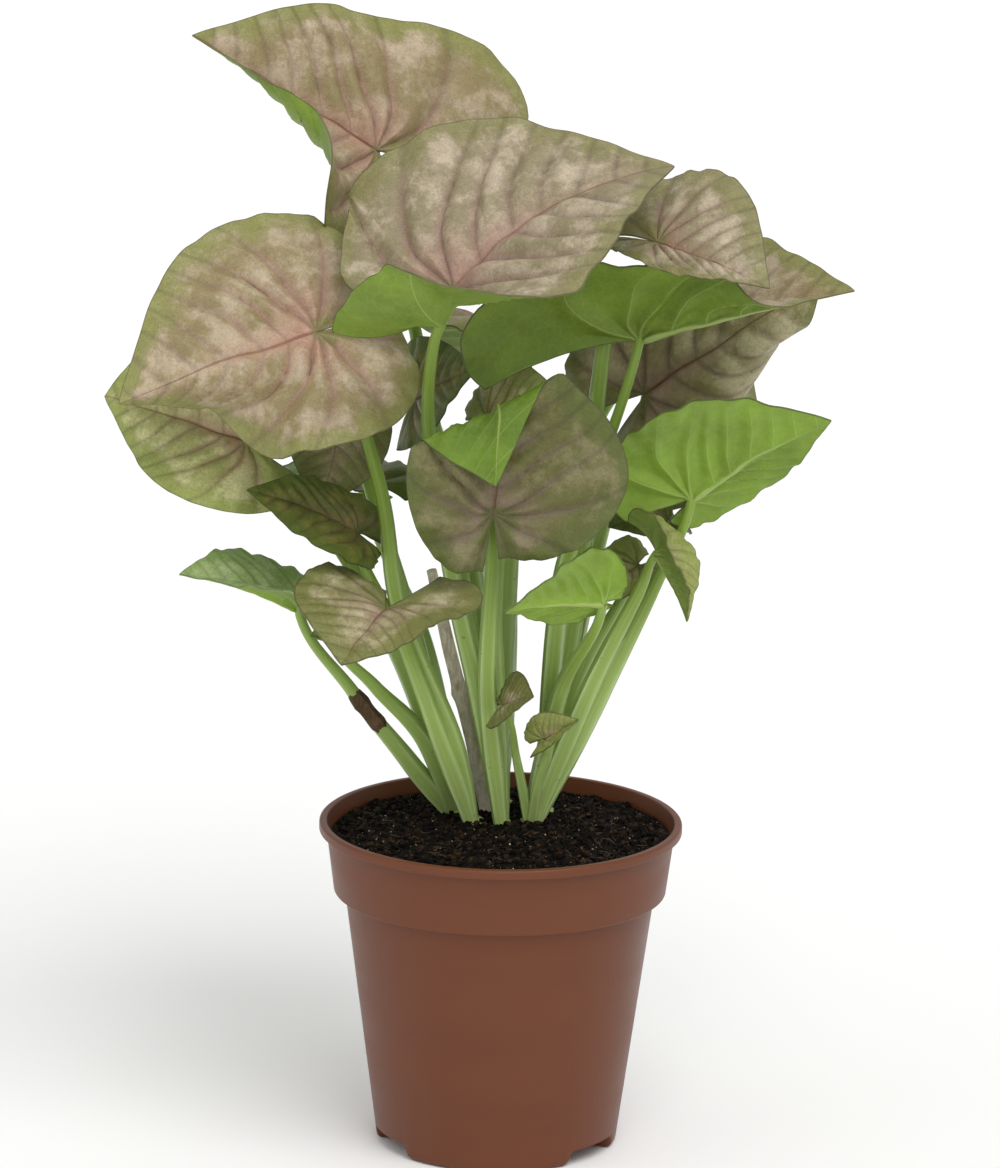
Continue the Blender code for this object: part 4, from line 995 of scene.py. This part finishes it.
def make_blade(blade, settings, upper_finish, under_finish):
    """One blade: a polar grid round the petiole, bent to shape and thickened, with a rib underneath."""
    length, _right, _along, normal = blade_axes(blade)
    size = min(1.0, LEAST_FACES + length / FACES_LENGTH)
    columns = 2 * round(settings.columns * size / 2.0)
    rings = round(settings.rings * size)
    bm = bmesh.new()
    layers = [bm.verts.layers.float.new(name) for name in ("across", "along", "margin", "vein_u", "vein_v")]
    uv = bm.loops.layers.uv.new("blade")
    made = bmesh.ops.create_grid(bm, x_segments=columns, y_segments=rings, size=1.0)["verts"]
    spread = np.array([vert.co.x for vert in made])
    sinus = np.array(blade.sinus)[np.where(spread < 0, 0, 1)]
    angle = sinus * np.sign(spread) * np.abs(spread) ** COLUMN_POWER
    reach = np.array([(vert.co.y + 1.0) / 2.0 for vert in made]) ** RING_POWER
    across, along = flat_place(blade, angle, reach)
    far = np.hypot(across, along)
    edge = np.minimum(far / reach.clip(0.01) - far, np.radians(sinus - np.abs(angle)) * far) * length
    veins = wander(blade, across, along)
    places = blade_points(blade, angle, reach, veins, settings)
    for vert, place, *values in zip(made, places, across, along, edge, *veins):
        vert.co = Vector(place) * MM
        for layer, value in zip(layers, values):
            vert[layer] = value
    bmesh.ops.remove_doubles(bm, verts=bm.verts, dist=MERGE)
    # The grid's faces have to look the way of the upper side before the thickness goes below them
    petiole = Vector(blade.attach) * MM
    near_petiole = min(bm.faces, key=lambda face: (face.calc_center_median() - petiole).length)
    if near_petiole.normal.dot(Vector(normal)) < 0:
        bmesh.ops.reverse_faces(bm, faces=bm.faces)
    bm.normal_update()
    upper = bm.verts[:]
    normals = [vert.normal.copy() for vert in upper]
    tree = kdtree.KDTree(len(upper))
    for index, vert in enumerate(upper):
        tree.insert(vert.co, index)
    tree.balance()
    bmesh.ops.solidify(bm, geom=bm.faces[:], thickness=FIRST_THICKNESS)
    uppers = set(upper)
    across_layer, along_layer, _margin_layer, u_layer, v_layer = layers
    for vert in bm.verts:
        if vert not in uppers:
            # The lower side lies straight under the upper, so that a sharp crease can't throw it out
            over = tree.find(vert.co)[1]
            out = abs(vert[across_layer]) * length
            depth = RIB_DEPTH * math.exp(-(out / RIB_WIDTH) ** 2) * (1.0 - max(0.0, vert[along_layer]))
            if vert[along_layer] <= RIB_START:
                depth = 0.0
            vert.co = upper[over].co - normals[over] * (settings.thickness + depth * MM)
    for face in bm.faces:
        face.material_index = 0 if any(vert in uppers for vert in face.verts) else 1
        for loop in face.loops:
            loop[uv].uv = (loop.vert[u_layer], loop.vert[v_layer])
    new_piece("fine_" + blade.name, bm, (upper_finish, under_finish), blade.name,
              BLADE_SMOOTH_ANGLE)


class ARROWHEAD_OT_leaves(bpy.types.Operator):
    """Builds every leaf blade with its veins, quilting, rolled margins and two-sided finish"""
    bl_idname = "arrowhead.leaves"
    bl_label = "Leaves"

    def execute(self, context):
        settings = context.scene.arrowhead.leaf
        finishes = {name: (leaf_upper(name.capitalize(), finish), leaf_under(name.capitalize(), finish))
                    for name, finish in LEAF_FINISHES.items()}
        for blade in BLADES:
            make_blade(blade, settings, *finishes[blade.finish])
        return {"FINISHED"}


class ARROWHEAD_OT_petioles(bpy.types.Operator):
    """Builds the leafy shoots: each is a short stem with the sheathed petioles of its leaves"""
    bl_idname = "arrowhead.petioles"
    bl_label = "Shoots and petioles"

    def execute(self, context):
        settings = context.scene.arrowhead.petiole
        finish = petiole_skin(settings)
        below = context.scene.arrowhead.leaf.thickness / MM
        for name, (base_x, base_y, radius) in SHOOT_BASES.items():
            bm = stalk_mesh()
            for blade in BLADES:
                if blade.shoot == name:
                    parts = [step / settings.steps for step in range(settings.steps + 1)]
                    centres = petiole_centres(blade, settings.steps, below)
                    radii = [float(petiole_radius(blade, part)) for part in parts]
                    ridges = [sheath_height(part) for part in parts]
                    tube(bm, centres, radii, settings.sides, ridges, petiole_end(blade, below)[1])
            heights = [STEM_BOTTOM_Z] + [STEM_TOP_Z + height for height, _share in STEM_ROUND]
            centres = [np.array((base_x, base_y, height)) for height in heights]
            radii = [radius] + [radius * share for _height, share in STEM_ROUND]
            tube(bm, centres, radii, settings.sides)
            bmesh.ops.recalc_face_normals(bm, faces=bm.faces)
            new_piece("fine_" + name, bm, (finish,), name)

        # A withered sheath still clings to the outer petiole on the left
        blade = [blade for blade in BLADES if blade.name == WITHERED_ON][0]
        first, last = WITHERED_RUN
        rows = range(round(first * settings.steps), round(last * settings.steps) + 1)
        course = petiole_centres(blade, settings.steps, below)
        centres = [course[row] for row in rows]
        radii = [float(petiole_radius(blade, row / settings.steps)) * swell for row, swell in
                 zip(rows, np.interp(np.linspace(0.0, 1.0, len(rows)), *np.transpose(WITHERED_SWELL)))]
        bm = stalk_mesh()
        tube(bm, centres, radii, settings.sides, [WITHERED_RIDGE] * len(centres))
        for vert in bm.verts:
            vert.co += vert.co.normalized() * noise.noise(vert.co / WRINKLE_WIDTH) * WRINKLE_HEIGHT
        bmesh.ops.recalc_face_normals(bm, faces=bm.faces)
        dead = dry_bark("Withered sheath, brown scale", settings.withered, 0.6)
        new_piece("withered_sheath", bm, (dead,))
        return {"FINISHED"}


class ARROWHEAD_OT_old_stem(bpy.types.Operator):
    """Builds the dry old main stem among the petioles, with its leaf scars"""
    bl_idname = "arrowhead.old_stem"
    bl_label = "Old stem"

    def execute(self, context):
        settings = context.scene.arrowhead.petiole
        base_x, base_y, radius = OLD_STEM_BASE
        points = [np.array((base_x, base_y, STEM_BOTTOM_Z)), np.array((base_x, base_y, STEM_TOP_Z))]
        points += [np.array(point, float) for point in OLD_STEM_COURSE]
        widths = [radius * share for share in OLD_STEM_TAPER]
        centres = []
        radii = []
        for index in range((len(points) - 1) * OLD_STEM_STEPS + 1):
            span = min(index // OLD_STEM_STEPS, len(points) - 2)
            part = index / OLD_STEM_STEPS - span
            centres.append(points[span] * (1.0 - part) + points[span + 1] * part)
            # A swollen scar in the middle of each stretch over the soil, where a leaf was
            scar = SCAR_SWELL * math.exp(-((part - 0.5) / SCAR_WIDTH) ** 2) if span else 0.0
            radii.append((widths[span] * (1.0 - part) + widths[span + 1] * part) * (1.0 + scar))
        bm = stalk_mesh()
        tube(bm, centres, radii, settings.sides)
        bmesh.ops.recalc_face_normals(bm, faces=bm.faces)
        bark = dry_bark("Old stem, dry papery bark", settings.paper, 0.4)
        new_piece("fine_old_stem", bm, (bark,), "old_stem")
        return {"FINISHED"}


def pot_inner_radius(z):
    """Inner radius of the pot at a height."""
    heights = (POT_FLOOR_TOP, COLLAR_BOTTOM_Z - STEP_HEIGHT, COLLAR_BOTTOM_Z, POT_HEIGHT - LIP_HEIGHT)
    radii = (BODY_BOTTOM_RADIUS, BODY_TOP_RADIUS, COLLAR_BOTTOM_RADIUS, COLLAR_TOP_RADIUS)
    return float(np.interp(z, heights, [radius - WALL for radius in radii]))


def arc(centre_r, centre_z, radius, start, end, steps=5):
    """Points of a rounded corner of a profile, between two angles."""
    points = []
    for step in range(steps + 1):
        turn = math.radians(start + (end - start) * step / steps)
        points.append((centre_r + radius * math.cos(turn), centre_z + radius * math.sin(turn)))
    return points


def turned(profile, sides):
    """A closed bmesh of revolution about Z from (radius, z) points that start and end on the axis."""
    bm = bmesh.new()
    verts = [bm.verts.new((radius * MM, 0.0, z * MM)) for radius, z in profile]
    edges = [bm.edges.new(pair) for pair in zip(verts, verts[1:])]
    bmesh.ops.spin(bm, geom=verts + edges, axis=(0, 0, 1), cent=(0, 0, 0), steps=sides, angle=2 * math.pi,
                   use_merge=True)
    bmesh.ops.remove_doubles(bm, verts=bm.verts, dist=MERGE)
    bmesh.ops.recalc_face_normals(bm, faces=bm.faces)
    return bm


def foot_gap(x, y):
    """1 in the gaps between the pot's feet and 0 on the feet, with a short ramp between them."""
    turn = math.degrees(math.atan2(y, x))
    most = 0.0
    half = FOOT_GAP_ANGLE / 2.0 + FOOT_RAMP_ANGLE / 2.0
    for foot in FOOT_CENTRES:
        apart = abs(math.remainder(turn - foot - 180.0 / len(FOOT_CENTRES), 360.0))
        most = max(most, float(smooth((half - apart) / FOOT_RAMP_ANGLE)))
    return most


class ARROWHEAD_OT_pot(bpy.types.Operator):
    """Builds the nursery pot with its rounded lip, collar, feet and drain holes"""
    bl_idname = "arrowhead.pot"
    bl_label = "Pot"

    def execute(self, context):
        settings = context.scene.arrowhead.pot
        lip_bottom = POT_HEIGHT - LIP_HEIGHT
        step_z = COLLAR_BOTTOM_Z - STEP_HEIGHT
        inner_lip = LIP_RADIUS - LIP_WIDTH
        edge = BOTTOM_EDGE_RADIUS
        # From the floor pad out to the feet, up the wall to the collar, and round the lip
        profile = [(0, 0), (FLOOR_DISC_RADIUS, 0), (FLOOR_DISC_RADIUS + FLOOR_SLOPE, FOOT_HEIGHT),
                   (FOOT_INNER_RADIUS - FOOT_SLOPE, FOOT_HEIGHT), (FOOT_INNER_RADIUS, 0)]
        profile += arc(BODY_BOTTOM_RADIUS - edge, edge, edge, -90.0, -6.0)
        profile += [(float(np.interp(z, (edge, step_z), (BODY_BOTTOM_RADIUS, BODY_TOP_RADIUS))), z)
                    for z in np.linspace(edge + WALL_START, step_z, WALL_RINGS)]
        profile += [(BODY_TOP_RADIUS + STEP_LEDGE[0], step_z + STEP_LEDGE[1])]
        profile += arc(COLLAR_BOTTOM_RADIUS - COLLAR_ROUND, COLLAR_BOTTOM_Z + COLLAR_LIFT, COLLAR_ROUND,
                       -60.0, 0.0, 4)
        profile += [(COLLAR_TOP_RADIUS, lip_bottom - LIP_FALL),
                    (COLLAR_TOP_RADIUS + LIP_LEDGE[0], lip_bottom + LIP_LEDGE[1])]
        profile += arc(LIP_RADIUS - LIP_LOWER_ROUND, lip_bottom + LIP_LOWER_ROUND, LIP_LOWER_ROUND,
                       -90.0, 0.0, 3)
        profile += arc(LIP_RADIUS - LIP_ROUND, POT_HEIGHT - LIP_ROUND, LIP_ROUND, 0.0, 90.0, 6)
        profile += arc(inner_lip + LIP_INNER_ROUND, POT_HEIGHT - LIP_INNER_ROUND, LIP_INNER_ROUND,
                       90.0, 180.0, 4)
        # Down the inside of the wall to the floor
        profile += [(pot_inner_radius(z), z) for z in (lip_bottom, COLLAR_BOTTOM_Z, step_z, POT_FLOOR_TOP)]
        profile += [(FLOOR_DISC_RADIUS, POT_FLOOR_TOP), (FLOOR_DISC_RADIUS - FLOOR_SLOPE, FLOOR_THICKNESS),
                    (0, FLOOR_THICKNESS)]
        bm = turned(profile, settings.sides)
        low = FOOT_HEIGHT * MM
        for vert in bm.verts:
            if vert.co.z < low and math.hypot(vert.co.x, vert.co.y) > (FLOOR_DISC_RADIUS + FOOT_START) * MM:
                vert.co.z += (low - vert.co.z) * foot_gap(vert.co.x, vert.co.y)
        plastic = moulded_plastic(settings)
        pot = new_piece("fine_pot", bm, (plastic,), "pot", POT_SMOOTH_ANGLE)

        # The drain holes are cut through the floor
        bm = bmesh.new()
        for hole in range(DRAIN_HOLES):
            turn = 2.0 * math.pi * hole / DRAIN_HOLES
            place = Vector((math.cos(turn), math.sin(turn), 0.0)) * DRAIN_RING_RADIUS * MM
            made = bmesh.ops.create_cone(bm, cap_ends=True, segments=DRAIN_SIDES, radius1=DRAIN_RADIUS * MM,
                                         radius2=DRAIN_RADIUS * MM, depth=DRAIN_CUT * MM)["verts"]
            bmesh.ops.translate(bm, verts=made, vec=place)
        drains = bpy.data.meshes.new("drain_holes")
        bm.to_mesh(drains)
        bm.free()
        cutter = bpy.data.objects.new("drain_holes", drains)
        context.scene.collection.objects.link(cutter)
        step = pot.modifiers.new("drain_holes", "BOOLEAN")
        step.operation = "DIFFERENCE"
        step.object = cutter
        step.solver = "EXACT"
        pierced = bpy.data.meshes.new_from_object(pot.evaluated_get(context.evaluated_depsgraph_get()))
        pot.modifiers.clear()
        pot.data = pierced
        bpy.data.objects.remove(cutter)
        return {"FINISHED"}


def soil_height(x, y):
    """Height of the soil's rough top, in metres, at a place in metres."""
    top_radius = (pot_inner_radius(SOIL_EDGE_Z) - SOIL_CLEARANCE) * MM
    part = min(1.0, math.hypot(x, y) / top_radius)
    dome = SOIL_EDGE_Z + SOIL_RISE * (1.0 - part ** 2)
    rough = sum(noise.noise(Vector((x, y, layer)) / wide) * high for wide, high, layer in SOIL_LUMPS)
    return (dome + rough * (1.0 - part ** SOIL_EDGE_POWER)) * MM


class ARROWHEAD_OT_soil(bpy.types.Operator):
    """Builds the root ball's rough top with its crumbs, fibres and pale grit"""
    bl_idname = "arrowhead.soil"
    bl_label = "Soil"

    def execute(self, context):
        settings = context.scene.arrowhead.soil
        draw = np.random.default_rng(settings.seed)
        top_radius = pot_inner_radius(SOIL_EDGE_Z) - SOIL_CLEARANCE
        profile = [(0, POT_FLOOR_TOP + SOIL_CLEARANCE)]
        for z in (POT_FLOOR_TOP, COLLAR_BOTTOM_Z - STEP_HEIGHT, COLLAR_BOTTOM_Z):
            profile.append((pot_inner_radius(z) - SOIL_CLEARANCE, z + SOIL_CLEARANCE))
        profile.append((top_radius, SOIL_EDGE_Z))
        profile += [(top_radius * ring, SOIL_EDGE_Z + SOIL_RISE) for ring in np.linspace(*SOIL_RINGS)]
        profile.append((0, SOIL_EDGE_Z + SOIL_RISE))
        bm = turned(profile, SOIL_SIDES)
        for vert in bm.verts:
            if vert.co.z > (SOIL_EDGE_Z + SOIL_RISE / 2.0) * MM:
                vert.co.z = soil_height(vert.co.x, vert.co.y)
        self.scatter(bm, draw, settings.crumbs, CRUMB_SIZES, top_radius - CRUMB_MARGIN)
        new_piece("fine_soil", bm, (damp_peat(settings),), "soil", SOIL_SMOOTH_ANGLE)

        bm = bmesh.new()
        self.scatter(bm, draw, settings.specks, GRIT_SIZES, top_radius - GRIT_MARGIN)
        new_piece("soil_grit", bm, (pale_grit(),))

        bm = stalk_mesh()
        for _fibre in range(settings.fibres):
            far = (top_radius - FIBRE_MARGIN) * math.sqrt(draw.random())
            turn = draw.uniform(0.0, 2.0 * math.pi)
            start = np.array((far * math.cos(turn), far * math.sin(turn), 0.0))
            heading = draw.uniform(0.0, 2.0 * math.pi)
            long = draw.uniform(*FIBRE_LENGTHS)
            centres = []
            for step in range(len(FIBRE_RADII)):
                along = long * step / (len(FIBRE_RADII) - 1.0)
                point = start + along * np.array((math.cos(heading), math.sin(heading), 0.0))
                heading += draw.uniform(-FIBRE_TURN, FIBRE_TURN)
                point[2] = soil_height(point[0] * MM, point[1] * MM) / MM + FIBRE_LIFT
                centres.append(point)
            tube(bm, centres, FIBRE_RADII, FIBRE_SIDES)
        bmesh.ops.recalc_face_normals(bm, faces=bm.faces)
        root = dry_bark("Soil fibres, dead root", context.scene.arrowhead.petiole.withered, 0.3)
        new_piece("soil_fibres", bm, (root,))
        return {"FINISHED"}

    def scatter(self, bm, draw, count, sizes, radius):
        """Lays small uneven lumps on the soil's top, in batches, which is quicker than all in one mesh."""
        for first in range(0, count, LUMP_BATCH):
            part = bmesh.new()
            for _lump in range(first, min(first + LUMP_BATCH, count)):
                far = radius * math.sqrt(draw.random())
                turn = draw.uniform(0.0, 2.0 * math.pi)
                x = far * math.cos(turn) * MM
                y = far * math.sin(turn) * MM
                size = (sizes[0] + (sizes[1] - sizes[0]) * draw.random() ** LUMP_SIZE_POWER) * MM
                width = size * draw.uniform(*LUMP_WIDTHS)
                height = size * draw.uniform(*LUMP_HEIGHTS)
                tilt = draw.uniform(-LUMP_TILT, LUMP_TILT, 2).tolist()
                spin = Euler(tilt + [draw.uniform(0.0, LUMP_TURN)]).to_matrix().to_4x4()
                place = Matrix.Translation((x, y, soil_height(x, y) + size * LUMP_LIFT)) @ spin
                place = place @ Matrix.Diagonal((size, width, height, 1.0))
                made = bmesh.ops.create_icosphere(part, subdivisions=1, radius=1.0, matrix=place)["verts"]
                for vert in made:
                    vert.co += Vector(draw.uniform(-LUMP_ROUGHNESS, LUMP_ROUGHNESS, 3)) * size
            mesh = bpy.data.meshes.new("lumps")
            part.to_mesh(mesh)
            part.free()
            bm.from_mesh(mesh)
            bpy.data.meshes.remove(mesh)


class ARROWHEAD_OT_stage(bpy.types.Operator):
    """Sets the pale floor, the soft studio light and the camera at the photograph's view"""
    bl_idname = "arrowhead.stage"
    bl_label = "Stage"

    def execute(self, context):
        settings = context.scene.arrowhead.stage
        bm = bmesh.new()
        bmesh.ops.create_grid(bm, x_segments=1, y_segments=1, size=FLOOR_REACH)
        bmesh.ops.translate(bm, verts=bm.verts, vec=(0.0, 0.0, -FLOOR_DEPTH))
        mesh = bpy.data.meshes.new("floor")
        bm.to_mesh(mesh)
        bm.free()
        mesh.materials.append(pale_floor(settings))
        floor = bpy.data.objects.new("floor", mesh)
        context.scene.collection.objects.link(floor)

        world = bpy.data.worlds.new("studio")
        world.use_nodes = True
        sky = world.node_tree.nodes["Background"]
        sky.inputs["Color"].default_value = (1.0, 1.0, 1.0, 1.0)
        sky.inputs["Strength"].default_value = settings.sky
        context.scene.world = world
        for name, setting, share, width, heading, height in SUNS:
            sun = bpy.data.lights.new(name, "SUN")
            sun.energy = getattr(settings, setting) * share
            sun.angle = math.radians(width)
            lamp = bpy.data.objects.new(name, sun)
            flat = math.cos(math.radians(height))
            toward = Vector((flat * math.cos(math.radians(heading)), flat * math.sin(math.radians(heading)),
                             math.sin(math.radians(height))))
            lamp.rotation_euler = toward.to_track_quat("Z", "Y").to_euler()
            lamp.location = toward * SUN_DISTANCE
            context.scene.collection.objects.link(lamp)

        pitch = math.radians(CAMERA_PITCH)
        roll = math.radians(CAMERA_ROLL)
        ahead = Vector((0.0, math.cos(pitch), -math.sin(pitch)))
        level = Vector((1.0, 0.0, 0.0))
        right = level * math.cos(roll) + level.cross(ahead) * math.sin(roll)
        up = right.cross(ahead)
        data = bpy.data.cameras.new("camera")
        data.sensor_width = SENSOR
        data.lens = FOCAL_PIXELS * SENSOR / PHOTO_HEIGHT
        camera = bpy.data.objects.new("camera", data)
        camera.matrix_world = Matrix.Translation(Vector(LOOK_AT) - ahead * CAMERA_DISTANCE) @ Matrix(
            (right, up, -ahead)).transposed().to_4x4()
        context.scene.collection.objects.link(camera)
        context.scene.camera = camera
        context.scene.view_settings.view_transform = "Standard"
        return {"FINISHED"}


class ARROWHEAD_PT_sidebar(bpy.types.Panel):
    """Lists the settings and the steps of the plant"""
    bl_label = "Arrowhead plant"
    bl_idname = "ARROWHEAD_PT_sidebar"
    bl_space_type = "VIEW_3D"
    bl_region_type = "UI"
    bl_category = "Arrowhead"

    def draw(self, context):
        settings = context.scene.arrowhead
        for title, group, operator in (("Leaves", settings.leaf, ARROWHEAD_OT_leaves),
                                       ("Petioles", settings.petiole, ARROWHEAD_OT_petioles),
                                       ("Pot", settings.pot, ARROWHEAD_OT_pot),
                                       ("Soil", settings.soil, ARROWHEAD_OT_soil),
                                       ("Stage", settings.stage, ARROWHEAD_OT_stage)):
            box = self.layout.box()
            box.label(text=title)
            for name in group.__annotations__:
                box.prop(group, name)
            box.operator(operator.bl_idname)
        self.layout.operator(ARROWHEAD_OT_old_stem.bl_idname)


CLASSES = (LeafSettings, PetioleSettings, PotSettings, SoilSettings, StageSettings, PlantSettings,
           ARROWHEAD_OT_pot, ARROWHEAD_OT_soil, ARROWHEAD_OT_old_stem, ARROWHEAD_OT_petioles,
           ARROWHEAD_OT_leaves, ARROWHEAD_OT_stage, ARROWHEAD_PT_sidebar)


def register():
    for cls in CLASSES:
        bpy.utils.register_class(cls)
    bpy.types.Scene.arrowhead = PointerProperty(type=PlantSettings)


def unregister():
    del bpy.types.Scene.arrowhead
    for cls in reversed(CLASSES):
        bpy.utils.unregister_class(cls)


def main():
    """Builds the scene, piece by piece."""
    register()
    bpy.ops.arrowhead.pot()
    bpy.ops.arrowhead.soil()
    bpy.ops.arrowhead.old_stem()
    bpy.ops.arrowhead.petioles()
    bpy.ops.arrowhead.leaves()
    bpy.ops.arrowhead.stage()


if __name__ == "__main__":
    main()
